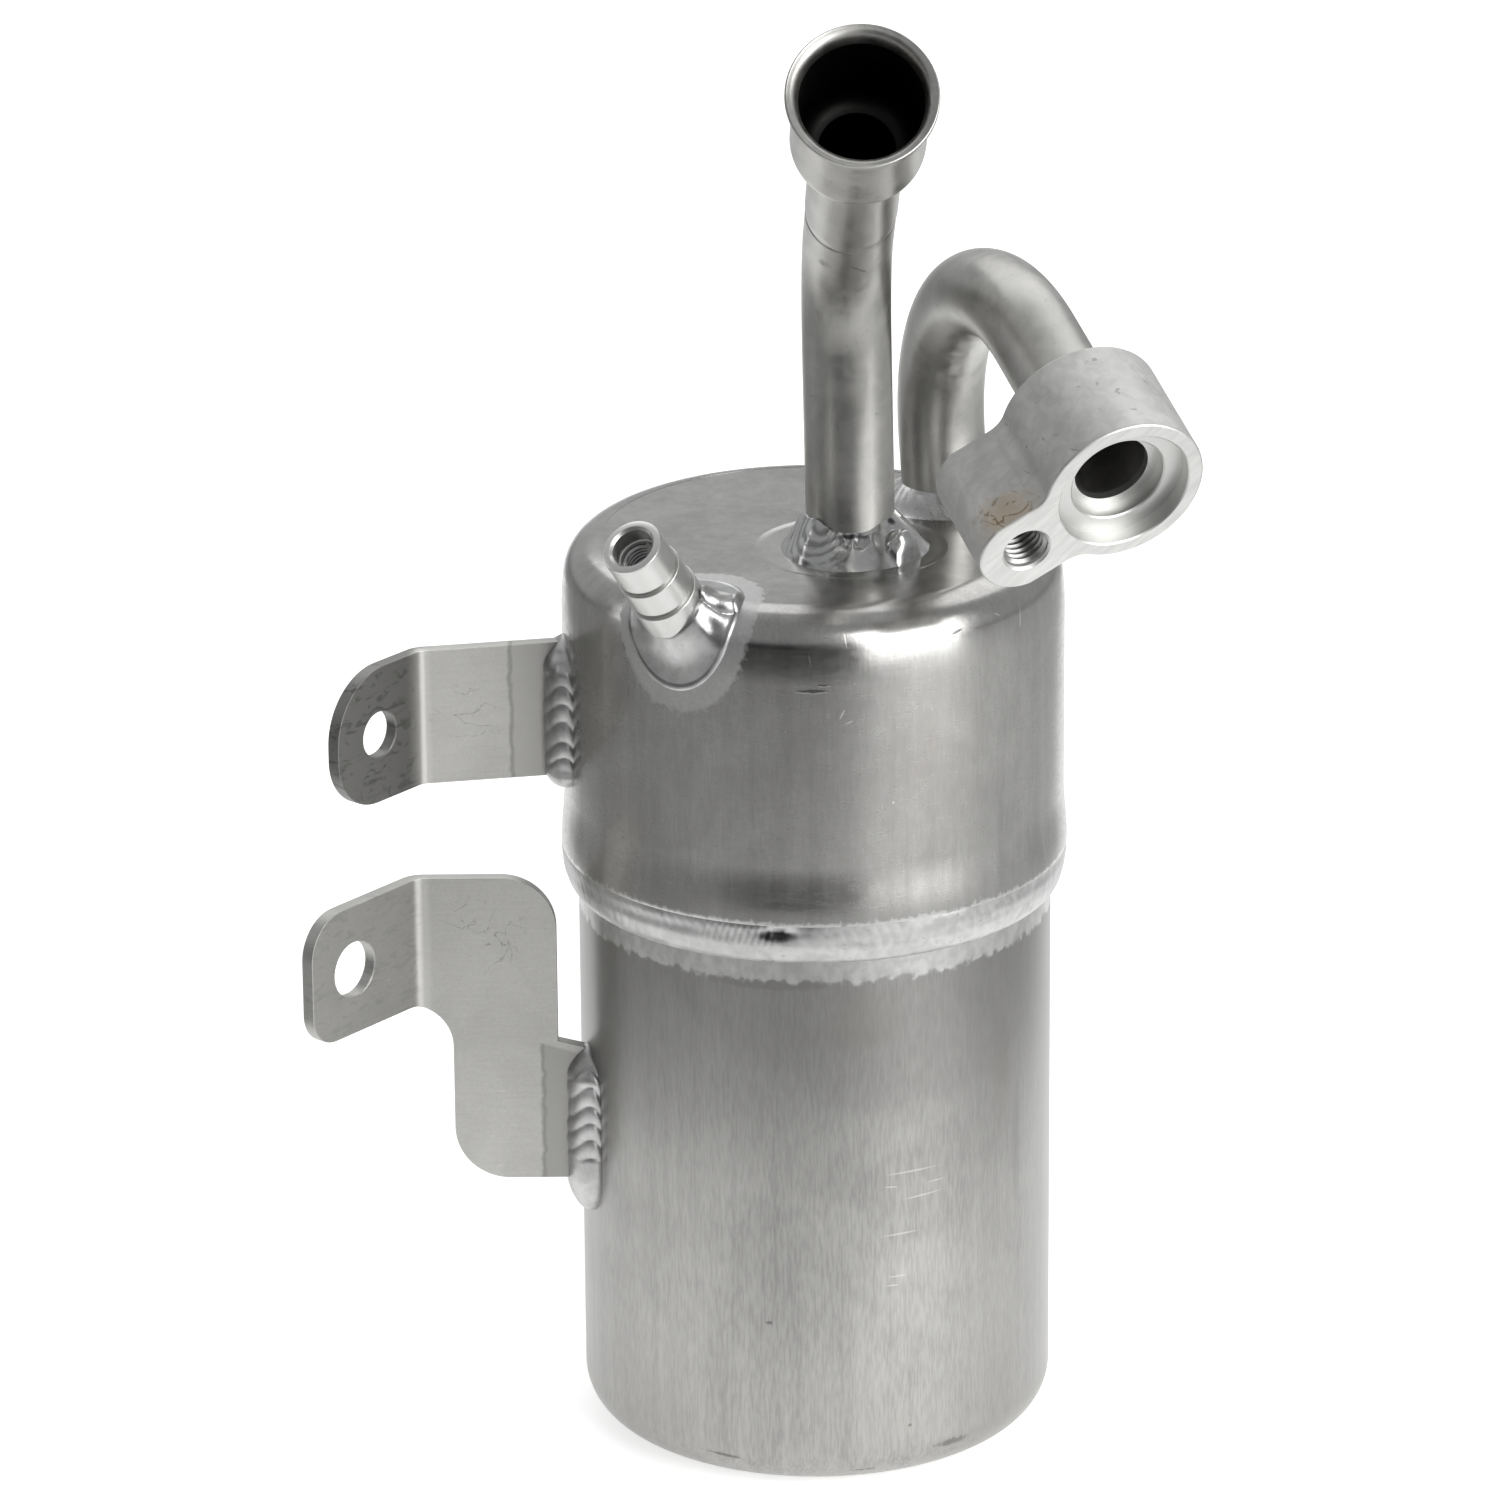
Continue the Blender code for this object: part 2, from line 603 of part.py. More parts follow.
def port_place():
    """Matrix at the port's mouth, with Z leaving it."""
    outward = heading(PORT_AZIMUTH)
    axis = outward * math.cos(PORT_ELEVATION) + Vector((0, 0, math.sin(PORT_ELEVATION)))
    centre = outward * (CAN_RADIUS - UPPER_CORNER)
    centre.z = CAN_HEIGHT - UPPER_CORNER
    mouth = centre + axis * (UPPER_CORNER + PORT_HEIGHT)
    return frame_at(mouth, axis, outward)


def port_profile():
    """Outside of the port from its mouth down: three collars with a groove between each."""
    radius = PORT_RADIUS
    profile = [(radius - PORT_EDGE, 0.0), (radius, -PORT_EDGE)]
    for groove in PORT_GROOVES:
        floor = radius - PORT_GROOVE_DEPTH
        profile += [(radius, -groove), (floor, -groove)]
        radius += PORT_STEP
        bottom = -groove - PORT_GROOVE_WIDTH
        profile += [(floor, bottom), (radius, bottom)]
    seat = -PORT_HEIGHT + CLEARANCE
    profile += [(radius, seat), (PORT_TAIL_RADIUS, seat)]
    return profile


def make_service_port(place, can_cutter, port_hole):
    tail_end = -PORT_HEIGHT - UPPER_CORNER + PORT_TAIL_LENGTH
    profile = port_profile() + [(PORT_TAIL_RADIUS, tail_end), (PORT_BORE_RADIUS, tail_end)]
    profile += [(PORT_BORE_RADIUS, -PORT_THREAD_DEPTH), (PORT_THREAD_RADIUS, -PORT_THREAD_DEPTH)]
    profile += [(PORT_THREAD_RADIUS, -PORT_MOUTH_DEPTH), (PORT_MOUTH_RADIUS, -PORT_MOUTH_DEPTH)]
    profile += [(PORT_MOUTH_RADIUS, -PORT_EDGE), (PORT_MOUTH_RADIUS + PORT_EDGE, 0.0)]
    port = turned("service_port", profile, place, segments=TUBE_SEGMENTS, closed=True)
    paint(port, (0.72, 0.72, 0.70), 0.3, 1.0)
    foot = place @ Matrix.Translation((0, 0, -PORT_HEIGHT))
    root = PORT_RADIUS + PORT_STEP * len(PORT_GROOVES)
    weld_place = foot @ Matrix.Translation((0, PORT_WELD_SHIFT, 0))
    ring_weld("service_port_weld", root - PORT_WELD_SHIFT, PORT_WELD_RADIUS, PORT_WELD_HEIGHT,
              weld_place, (can_cutter, port_hole))


def fold_point(along, across, height, start, plate, fold_at, turn):
    """Folds a flat sheet: along runs out from the can, across into the sheet's thickness."""
    if along <= fold_at:
        front = heading(plate + math.pi / 2)
        point = start + heading(plate) * along - front * across
    else:
        arc_angle = min((along - fold_at) / FOLD_RADIUS, turn)
        beyond = max(0.0, along - fold_at - FOLD_RADIUS * turn)
        first_front = heading(plate + math.pi / 2)
        front = heading(plate + arc_angle + math.pi / 2)
        centre = start + heading(plate) * fold_at + first_front * FOLD_RADIUS
        point = centre - front * (FOLD_RADIUS + across)
        point += heading(plate + arc_angle) * beyond
    return Vector((point.x, point.y, height))


def folded_sheet(name, outlines, start, plate, corner_reach):
    """Bends a flat pattern of (distance from the can, height) outlines at one fold line."""
    turn = TAB_HEADING - plate
    fold_at = corner_reach - FOLD_RADIUS * math.tan(turn / 2)
    sheet = flat_solid(name, outlines, SHEET)
    shape = bmesh.new()
    shape.from_mesh(sheet.data)
    for i in range(FOLD_STEPS + 1):
        line = Vector((fold_at + FOLD_RADIUS * turn * i / FOLD_STEPS, 0, 0))
        geometry = shape.verts[:] + shape.edges[:] + shape.faces[:]
        bmesh.ops.bisect_plane(shape, geom=geometry, plane_co=line, plane_no=(1, 0, 0))
    for vert in shape.verts:
        across = SHEET / 2 - vert.co.z
        vert.co = fold_point(vert.co.x, across, vert.co.y, start, plate, fold_at, turn)
    bmesh.ops.recalc_face_normals(shape, faces=shape.faces)
    shape.to_mesh(sheet.data)
    shape.free()
    paint(sheet, (0.60, 0.60, 0.58), 0.45, 1.0)
    return sheet


def tab_distance(corner_reach, plate, reach):
    """Flat-pattern distance of a point that lies reach beyond the corner, along the tab."""
    turn = TAB_HEADING - plate
    setback = FOLD_RADIUS * math.tan(turn / 2)
    return corner_reach - setback + FOLD_RADIUS * turn + reach - setback


def upright_bead(name, centre, bottom, top, overruns, cutters):
    """A weld bead standing at the foot of a bracket, wrapped over its ends."""
    bottom -= overruns[0]
    top += overruns[1]
    taper = max(BEAD_TAPER, 1.2 * overruns[0])
    shape = bmesh.new()
    bmesh.ops.create_uvsphere(shape, u_segments=20, v_segments=12, radius=1.0)
    half = (top - bottom) / 2
    for vert in shape.verts:
        vert.co.x *= BRACKET_BEAD_DEPTH
        vert.co.y *= BRACKET_BEAD_RADIUS
        if vert.co.z > 0.001:
            vert.co.z = vert.co.z * BEAD_TAPER + half - BEAD_TAPER
        elif vert.co.z < -0.001:
            vert.co.z = vert.co.z * taper - half + taper
    mesh = bpy.data.meshes.new(name)
    shape.to_mesh(mesh)
    shape.free()
    middle = Vector((centre.x, centre.y, (bottom + top) / 2))
    bead = add_object(name, mesh, frame_at(middle, (0, 0, 1), centre))
    for cutter in cutters:
        boolean(bead, cutter)
    paint(bead, (0.70, 0.70, 0.69), 0.2, 1.0)
    return bead


def slab_cutter(name, start, plate, near, far, bottom, top):
    """The space that a bracket's plate takes up, with clearance all round."""
    shape = bmesh.new()
    bmesh.ops.create_cube(shape, size=1.0)
    mesh = bpy.data.meshes.new(name)
    shape.to_mesh(mesh)
    shape.free()
    front = heading(plate + math.pi / 2)
    middle = start + heading(plate) * (near + far) / 2 - front * SHEET / 2
    middle.z = (bottom + top) / 2
    size = (far - near, SHEET + 2 * CLEARANCE, top - bottom + 2 * CLEARANCE)
    place = frame_at(middle, (0, 0, 1), heading(plate)) @ Matrix.Diagonal((*size, 1.0))
    return as_cutter(add_object(name, mesh, place))


def make_upper_bracket(can_cutter):
    """A radial plate with a round-ended tab."""
    plate = UPPER_PLATE_HEADING
    near = CAN_RADIUS + CLEARANCE
    end = tab_distance(UPPER_PLATE_REACH, plate, UPPER_TAB_LENGTH)
    base = UPPER_BRACKET_BASE
    top = base + UPPER_BRACKET_HEIGHT
    outline = [(near, base)]
    corner = UPPER_TAB_BOTTOM_CORNER
    outline += arc((end - corner, base + corner), corner, -90, 0)
    corner = UPPER_TAB_TOP_CORNER
    outline += arc((end - corner, top - corner), corner, 0, 90)
    outline += [(near, top)]
    hole_at = tab_distance(UPPER_PLATE_REACH, plate, UPPER_HOLE_REACH)
    hole = circle((hole_at, (base + top) / 2), UPPER_HOLE_RADIUS)
    start = Vector((0, 0, 0))
    folded_sheet("upper_bracket", [outline, hole], start, plate, UPPER_PLATE_REACH)
    middle = heading(plate) * CAN_RADIUS - heading(plate + math.pi / 2) * SHEET / 2
    slab = slab_cutter("upper_plate_space", start, plate, 0, UPPER_PLATE_REACH, base, top)
    upright_bead("upper_bracket_weld", middle, base, top, UPPER_BEAD_ENDS, (can_cutter, slab))


def make_lower_bracket(can_cutter):
    """An arm that clears the waist, on a leg welded to the lower shell."""
    plate = math.pi
    start = Vector((0, -LOWER_PLATE_OFFSET, 0))
    back_offset = LOWER_PLATE_OFFSET - SHEET
    foot = math.sqrt(LOWER_RADIUS**2 - back_offset**2) + CLEARANCE
    waist = math.sqrt((CAN_RADIUS + SKIRT_FLARE) ** 2 - back_offset**2)
    arm_near = waist + LOWER_ARM_GAP - SKIRT_FLARE
    leg_far = foot + LOWER_LEG_WIDTH
    leg_base = LOWER_LEG_BASE
    foot_top = leg_base + LOWER_FOOT_HEIGHT
    arm_base = LOWER_ARM_BASE
    arm_top = arm_base + LOWER_ARM_HEIGHT
    end = tab_distance(LOWER_PLATE_REACH, plate, LOWER_TAB_LENGTH)
    outline = [(foot, leg_base)]
    corner = LOWER_LEG_CORNER
    outline += arc((leg_far - corner, leg_base + corner), corner, -90, 0)
    fillet = LOWER_INNER_FILLET
    outline += arc((leg_far + fillet, arm_base - fillet), fillet, 180, 90)
    corner = LOWER_TAB_BOTTOM_CORNER
    outline += arc((end - corner, arm_base + corner), corner, -90, 0)
    corner = LOWER_TAB_TOP_CORNER
    outline += arc((end - corner, arm_top - corner), corner, 0, 90)
    corner = LOWER_ARM_CORNER
    outline += arc((arm_near + corner, arm_top - corner), corner, 90, 180)
    outline += [(arm_near, foot_top + LOWER_FOOT_RISE), (foot, foot_top)]
    hole_at = tab_distance(LOWER_PLATE_REACH, plate, LOWER_HOLE_REACH)
    hole = circle((hole_at, (arm_base + arm_top) / 2), LOWER_HOLE_RADIUS)
    folded_sheet("lower_bracket", [outline, hole], start, plate, LOWER_PLATE_REACH)
    middle_y = -LOWER_PLATE_OFFSET + SHEET / 2
    middle = Vector((-math.sqrt(LOWER_RADIUS**2 - middle_y**2), middle_y, 0))
    slab = slab_cutter("lower_plate_space", start, plate, 0, LOWER_PLATE_REACH, leg_base,
                       foot_top + LOWER_FOOT_RISE)
    upright_bead("lower_bracket_weld", middle, leg_base, foot_top + LOWER_FOOT_RISE,
                 LOWER_BEAD_ENDS, (can_cutter, slab))


def pickup_path():
    """Down from the outlet tube, round the sump bend, and up under the baffle."""
    down = Vector((0, 0, -1))
    start = Vector((*OUTLET_PLACE, CAN_HEIGHT - UPPER_END - OUTLET_INSIDE + PICKUP_LAP))
    path = [start]
    drop = start.z - PICKUP_SUMP_HEIGHT - PICKUP_BEND_RADIUS
    straight(path, down, drop)
    direction = bend(path, down, pickup_side(), PICKUP_BEND_RADIUS, math.pi)
    rise = PICKUP_END_HEIGHT - path[-1].z
    straight(path, direction, rise)
    return path


def pickup_side():
    """Level direction from the outlet's leg to the open leg, across the can's axis."""
    return -Vector((*OUTLET_PLACE, 0)).normalized()


def sump_middle():
    middle = Vector((*OUTLET_PLACE, 0)) + pickup_side() * PICKUP_BEND_RADIUS
    return middle


def make_pickup(path):
    """The tube that draws vapour from the top and a little oil from the sump."""
    body = tube("pickup_tube", path, even(PICKUP_RADIUS), even(PICKUP_RADIUS - PICKUP_WALL))
    depth = 2 * PICKUP_RADIUS
    profile = [(0.0, 0.0), (BLEED_HOLE_RADIUS, 0.0), (BLEED_HOLE_RADIUS, -depth), (0.0, -depth)]
    place = Matrix.Translation(sump_middle() + Vector((0, 0, PICKUP_SUMP_HEIGHT)))
    boolean(body, as_cutter(turned("bleed_hole", profile, place, segments=8)))
    paint(body, (0.60, 0.60, 0.58), 0.4, 1.0)


def make_baffle(pickup_hole):
    """A dished cover with a skirt, carried on the pickup tube by a collar."""
    outer = BAFFLE_RADIUS
    inner = BAFFLE_RADIUS - BAFFLE_WALL
    base = BAFFLE_HEIGHT - BAFFLE_SKIRT
    rim = BAFFLE_HEIGHT
    crown = BAFFLE_HEIGHT + BAFFLE_RISE
    profile = [(0.0, crown + BAFFLE_WALL)]
    profile += [(outer * 0.6, crown + BAFFLE_WALL * 0.8), (outer, rim), (outer, base), (inner, base)]
    profile += [(inner, rim - BAFFLE_WALL), (outer * 0.6, crown - BAFFLE_WALL * 0.2), (0.0, crown)]
    baffle = turned("vapour_baffle", profile, segments=40)
    collar_radius = PICKUP_RADIUS + CLEARANCE + BAFFLE_COLLAR_WALL
    low = BAFFLE_HEIGHT - BAFFLE_COLLAR_LENGTH
    profile = [(0.0, rim), (collar_radius, rim), (collar_radius, low), (0.0, low)]
    place = Matrix.Translation(Vector((*OUTLET_PLACE, 0)))
    boolean(baffle, as_cutter(turned("baffle_collar", profile, place, segments=TUBE_SEGMENTS)), "UNION")
    boolean(baffle, pickup_hole)
    paint(baffle, (0.10, 0.10, 0.10), 0.55, 0.0)


def make_desiccant():
    """A pillow of felt between the pickup legs, and the strap round bag and legs."""
    side = pickup_side()
    width = 2 * (PICKUP_BEND_RADIUS - PICKUP_RADIUS - CLEARANCE)
    middle = sump_middle() + Vector((0, 0, BAG_BASE + BAG_LENGTH / 2))
    shape = bmesh.new()
    bmesh.ops.create_cube(shape, size=1.0)
    bmesh.ops.subdivide_edges(shape, edges=shape.edges, cuts=2, use_grid_fill=True)
    bmesh.ops.scale(shape, vec=(width, BAG_THICKNESS, BAG_LENGTH), verts=shape.verts)
    mesh = bpy.data.meshes.new("desiccant_bag")
    shape.to_mesh(mesh)
    shape.free()
    bag = add_object("desiccant_bag", mesh, frame_at(middle, (0, 0, 1), side))
    smooth = bag.modifiers.new("soften", "SUBSURF")
    smooth.levels = 1
    smooth.render_levels = 1
    paint(bag, (0.82, 0.80, 0.74), 0.95, 0.0)

    half_width = BAG_THICKNESS / 2 + CLEARANCE
    half_length = PICKUP_BEND_RADIUS + PICKUP_RADIUS + CLEARANCE
    shift = half_length - half_width
    bands = []
    for extra in (STRAP_WALL, 0.0):
        radius = half_width + extra
        bands.append(arc((shift, 0), radius, -90, 90, 2 * CORNER_STEPS)
                     + arc((-shift, 0), radius, 90, 270, 2 * CORNER_STEPS))
    strap = flat_solid("bag_strap", bands, STRAP_WIDTH)
    strap.matrix_world = frame_at(middle, (0, 0, 1), side)
    paint(strap, (0.85, 0.85, 0.82), 0.5, 0.0)


def make_bleed_filter(pickup_hole):
    """A windowed cup that hugs the underside of the sump bend, with its mesh screen."""
    middle = sump_middle()
    tube_bottom = PICKUP_SUMP_HEIGHT - PICKUP_RADIUS
    top = tube_bottom + FILTER_SADDLE
    floor = FILTER_BASE + FILTER_FLOOR
    bore = FILTER_RADIUS - FILTER_WALL
    ceiling = tube_bottom - FILTER_FLOOR
    place = Matrix.Translation(middle)
    profile = [(0.0, top), (FILTER_RADIUS, top), (FILTER_RADIUS, FILTER_BASE), (0.0, FILTER_BASE)]
    cup = turned("bleed_filter_housing", profile, place, segments=TUBE_SEGMENTS)
    profile = [(0.0, ceiling), (bore, ceiling), (bore, floor), (0.0, floor)]
    boolean(cup, as_cutter(turned("filter_hollow", profile, place, segments=TUBE_SEGMENTS)))
    window_middle = (floor + ceiling) / 2
    for turn in (0, math.pi / 2):
        shape = bmesh.new()
        bmesh.ops.create_cube(shape, size=1.0)
        bmesh.ops.scale(shape, vec=(4 * FILTER_RADIUS, WINDOW_WIDTH, WINDOW_HEIGHT), verts=shape.verts)
        mesh = bpy.data.meshes.new("filter_window")
        shape.to_mesh(mesh)
        shape.free()
        at = middle + Vector((0, 0, window_middle))
        window = add_object("filter_window", mesh, frame_at(at, (0, 0, 1), heading(turn)))
        boolean(cup, as_cutter(window))
    profile = [(0.0, top), (PICKUP_RADIUS / 3, top), (PICKUP_RADIUS / 3, floor), (0.0, floor)]
    boolean(cup, as_cutter(turned("filter_inlet", profile, place, segments=12)))
    boolean(cup, pickup_hole)
    paint(cup, (0.08, 0.08, 0.08), 0.5, 0.0)

    radius = bore - CLEARANCE
    low = floor + CLEARANCE
    high = ceiling - CLEARANCE
    profile = [(radius, high), (radius, low), (radius - SCREEN_WALL, low), (radius - SCREEN_WALL, high)]
    screen = turned("bleed_filter_screen", profile, place, segments=TUBE_SEGMENTS, closed=True)
    paint(screen, (0.75, 0.75, 0.72), 0.6, 0.3)


def make_all():
    inlet = inlet_path()
    outlet, outlet_end = outlet_path()
    pickup = pickup_path()
    port = port_place()
    can_cutter = as_cutter(turned("can_space", can_outline(CLEARANCE)))
    inlet_hole = as_cutter(rod("inlet_space", inlet[:-1], even(INLET_RADIUS + CLEARANCE)))
    outlet_space = outlet[:-1] + [outlet[-1] + outlet_end * CLEARANCE]
    outlet_hole = as_cutter(rod("outlet_space", outlet_space, even(OUTLET_RADIUS + CLEARANCE)))
    pickup_hole = as_cutter(rod("pickup_space", pickup, even(PICKUP_RADIUS + CLEARANCE)))
    foot = PORT_RADIUS + PORT_STEP * len(PORT_GROOVES) + CLEARANCE
    tail = PORT_TAIL_RADIUS + CLEARANCE
    seat = -PORT_HEIGHT
    profile = [(0.0, 0.0), (foot, 0.0), (foot, seat), (tail, seat), (tail, seat - 2 * UPPER_CORNER)]
    profile += [(0.0, seat - 2 * UPPER_CORNER)]
    port_hole = as_cutter(turned("port_space", profile, port, segments=TUBE_SEGMENTS))
    make_shells(inlet_hole, outlet_hole, port_hole)
    make_inlet_tube(inlet)
    top = Vector((0, 0, CAN_HEIGHT))
    place = Matrix.Translation(Vector((*INLET_PLACE, 0)) + top)
    ring_weld("inlet_weld", INLET_RADIUS, INLET_WELD_RADIUS, INLET_WELD_HEIGHT, place,
              (can_cutter, inlet_hole))
    place = Matrix.Translation(Vector((*OUTLET_PLACE, 0)) + top)
    ring_weld("outlet_weld", OUTLET_RADIUS, OUTLET_WELD_RADIUS, OUTLET_WELD_HEIGHT, place,
              (can_cutter, outlet_hole))
    make_outlet(outlet, outlet_end, outlet_hole)
    make_service_port(port, can_cutter, port_hole)
    make_upper_bracket(can_cutter)
    make_lower_bracket(can_cutter)
    make_pickup(pickup)
    make_baffle(pickup_hole)
    make_desiccant()
    make_bleed_filter(pickup_hole)
    for obj in PARTS.objects:
        obj.data.shade_smooth()
        obj.data.set_sharp_from_angle(angle=math.radians(35))


make_all()
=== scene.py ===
import math

import bmesh
import bpy
from bpy.props import FloatProperty, FloatVectorProperty, PointerProperty
from bpy.types import Operator, Panel, PropertyGroup
from mathutils import Matrix, Vector, noise


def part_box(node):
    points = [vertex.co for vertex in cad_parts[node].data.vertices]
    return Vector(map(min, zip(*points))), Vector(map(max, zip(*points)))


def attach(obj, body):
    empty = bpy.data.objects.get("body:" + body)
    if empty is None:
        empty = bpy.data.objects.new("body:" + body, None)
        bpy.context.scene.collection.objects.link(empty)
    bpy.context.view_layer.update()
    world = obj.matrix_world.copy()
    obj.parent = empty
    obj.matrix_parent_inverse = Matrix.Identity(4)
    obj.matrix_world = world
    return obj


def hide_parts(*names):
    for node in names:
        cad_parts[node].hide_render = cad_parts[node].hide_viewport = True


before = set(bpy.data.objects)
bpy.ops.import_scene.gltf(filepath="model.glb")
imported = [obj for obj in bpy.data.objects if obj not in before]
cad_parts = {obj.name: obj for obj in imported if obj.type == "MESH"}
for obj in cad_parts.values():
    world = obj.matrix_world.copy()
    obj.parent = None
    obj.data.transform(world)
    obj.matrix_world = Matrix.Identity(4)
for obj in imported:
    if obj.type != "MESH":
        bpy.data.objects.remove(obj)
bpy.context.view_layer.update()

bl_info = {
    "name": "Suction line accumulator",
    "version": (1, 0, 0),
    "blender": (4, 5, 0),
    "location": "3D View > Sidebar > Accumulator",
    "description": "Models and finishes the pieces of a suction line accumulator",
    "category": "Object",
}

MM = 0.001
UP = Vector((0.0, 0.0, 1.0))


def size(name, millimetres, description):
    return FloatProperty(name=name, description=description, default=millimetres * MM,
                         min=0.0, unit="LENGTH", precision=4)


def tint(name, colour, description):
    return FloatVectorProperty(name=name, description=description, default=colour, size=3,
                               min=0.0, max=1.0, subtype="COLOR")


class CanSizes(PropertyGroup):
    """Sizes of the two shells."""
    height: size("Height", 168.0, "Height of the can's flat top above its bottom")
    radius: size("Radius", 45.0, "Outside radius of the upper shell")
    shoulder: size("Shoulder", 7.0, "Radius of the rounded shoulder")
    wall: size("Wall", 2.0, "Thickness of both side walls")
    end_wall: size("End wall", 3.5, "Thickness of the top and of the bottom")
    waist: size("Waist height", 110.3, "Height of the upper shell's lower edge")
    flare: size("Flare", 0.6, "How far the upper shell's lower edge is swollen")
    flare_length: size("Flare length", 6.0, "Height of the swollen part")
    foot_radius: size("Foot radius", 42.7, "Outside radius of the lower shell")
    foot_corner: size("Foot corner", 8.0, "Radius of the lower shell's bottom corner")
    lap: size("Lap", 12.0, "How far the lower shell reaches up inside the upper one")
    weld_drop: size("Waist weld", 7.6, "Height of the weld below the upper shell's edge")
    cleaned_radius: size("Cleaned ring", 17.3, "Radius of the cleaned ring round the inlet")


class TubeSizes(PropertyGroup):
    """Sizes of the two bent tubes."""
    inlet_radius: size("Inlet radius", 7.9, "Outside radius of the inlet tube")
    inlet_bore: size("Inlet bore", 6.65, "Inside radius of the inlet tube")
    neck_radius: size("Neck radius", 8.05, "Outside radius of the drawn neck before the socket")
    socket_radius: size("Socket radius", 11.6, "Outside radius of the socket")
    socket_bore: size("Socket bore", 10.65, "Inside radius of the socket")
    socket_depth: size("Socket depth", 18.9, "Length of the straight part of the socket")
    shoulder: size("Socket shoulder", 5.0, "Length of the rounded step into the socket")
    lip_radius: size("Lip radius", 13.0, "Outside radius of the rolled lip")
    lip_length: size("Lip length", 3.2, "Length of the rolled lip")
    outlet_radius: size("Outlet radius", 7.8, "Outside radius of the outlet tube")
    outlet_bore: size("Outlet bore", 6.7, "Inside radius of the outlet tube")


class BlockSizes(PropertyGroup):
    """Sizes of the outlet block."""
    thickness: size("Thickness", 21.3, "Thickness of the block")
    radius: size("Large lobe", 14.5, "Radius of the lobe round the bore")
    ear_radius: size("Small lobe", 8.0, "Radius of the lobe round the bolt hole")
    ear_reach: size("Lobe distance", 20.0, "Distance between the centres of the two lobes")
    waist: size("Waist", 15.5, "Width between the two lobes")
    waist_fillet: size("Waist fillet", 5.0, "Radius of the hollow between waist and large lobe")
    edge: size("Edge", 0.5, "Width of the broken edge")
    seat_radius: size("Counterbore", 11.8, "Radius of the counterbore")
    seat_depth: size("Counterbore depth", 3.0, "Depth of the counterbore")
    step_radius: size("Step", 8.4, "Radius of the step below the counterbore")
    step_depth: size("Step depth", 3.0, "Depth of that step")
    bolt_reach: size("Bolt distance", 19.4, "Distance from the bore to the bolt hole")
    bolt_radius: size("Bolt hole", 4.0, "Radius of the bolt hole at the roots of its thread")
    bolt_crest: size("Thread crest", 3.4, "Radius of the bolt hole at the crests of its thread")
    pitch: size("Thread pitch", 1.25, "Pitch of the bolt hole's thread")


class PortSizes(PropertyGroup):
    """Sizes of the service port."""
    height: size("Height", 19.9, "Length of the port above the shoulder")
    radius: size("Radius", 5.5, "Radius of the first collar")
    step: size("Step", 0.35, "How much wider each collar is than the one before")
    groove_width: size("Groove width", 0.8, "Width of each groove")
    groove_depth: size("Groove depth", 0.5, "Depth of each groove")
    edge: size("Edge", 0.5, "Width of the broken edges")
    mouth_radius: size("Mouth", 3.7, "Radius of the mouth")
    mouth_depth: size("Mouth depth", 3.5, "Depth of the mouth")
    thread_root: size("Thread root", 3.05, "Radius at the roots of the inner thread")
    thread_crest: size("Thread crest", 2.6, "Radius at the crests of the inner thread")
    pitch: size("Thread pitch", 0.8, "Pitch of the inner thread")
    bore: size("Bore", 1.6, "Radius of the bore below the thread")


class BracketSizes(PropertyGroup):
    """Sizes of the two folded brackets."""
    sheet: size("Sheet", 2.5, "Thickness of the sheet")
    fold_radius: size("Fold radius", 2.5, "Inside radius of the folds")
    edge: size("Edge", 0.22, "Width of the sheet's worn edges")
    upper_height: size("Upper height", 25.3, "Height of the upper bracket")
    upper_base: size("Upper base", 125.6, "Height of the upper bracket's lower edge")
    upper_hole: size("Upper hole", 4.25, "Radius of the upper bracket's hole")
    arm_height: size("Arm height", 24.4, "Height of the lower bracket's arm")
    arm_base: size("Arm base", 82.9, "Height of the arm's lower edge")
    leg_base: size("Leg base", 48.8, "Height of the leg's lower edge")
    leg_width: size("Leg width", 23.6, "Width of the leg")
    lower_hole: size("Lower hole", 5.2, "Radius of the lower bracket's hole")


class WeldSizes(PropertyGroup):
    """Sizes of the weld beads."""
    inlet_radius: size("Inlet weld radius", 13.4, "Radius of the bead round the inlet tube")
    inlet_height: size("Inlet weld height", 7.6, "Height of that bead")
    outlet_radius: size("Outlet weld radius", 12.6, "Radius of the bead round the outlet tube")
    outlet_height: size("Outlet weld height", 4.0, "Height of that bead")
    port_radius: size("Port weld radius", 10.9, "Radius of the bead round the port")
    bead_width: size("Bracket bead width", 7.0, "Half of the bracket beads' width")
    bead_depth: size("Bracket bead depth", 4.0, "How far the bracket beads stand off the can")


class FinishColours(PropertyGroup):
    """Colours of the finishes."""
    drawn: tint("Drawn shell", (0.455, 0.45, 0.437), "Colour of the two drawn shells")
    tube: tint("Extruded tube", (0.50, 0.495, 0.475), "Colour of the bent tubes")
    sheet: tint("Rolled sheet", (0.55, 0.545, 0.525), "Colour of the brackets")
    machined: tint("Machined", (0.66, 0.66, 0.645), "Colour of turned and milled faces")
    weld: tint("Weld", (0.54, 0.54, 0.535), "Colour of the weld metal")
    stain: tint("Stain", (0.30, 0.20, 0.09), "Colour of the dried stains on the block")
    felt: tint("Felt", (0.78, 0.75, 0.67), "Colour of the desiccant bag")
    nylon: tint("Nylon", (0.80, 0.79, 0.74), "Colour of the strap and the filter screen")
    moulding: tint("Moulding", (0.035, 0.035, 0.037), "Colour of the black moulded pieces")


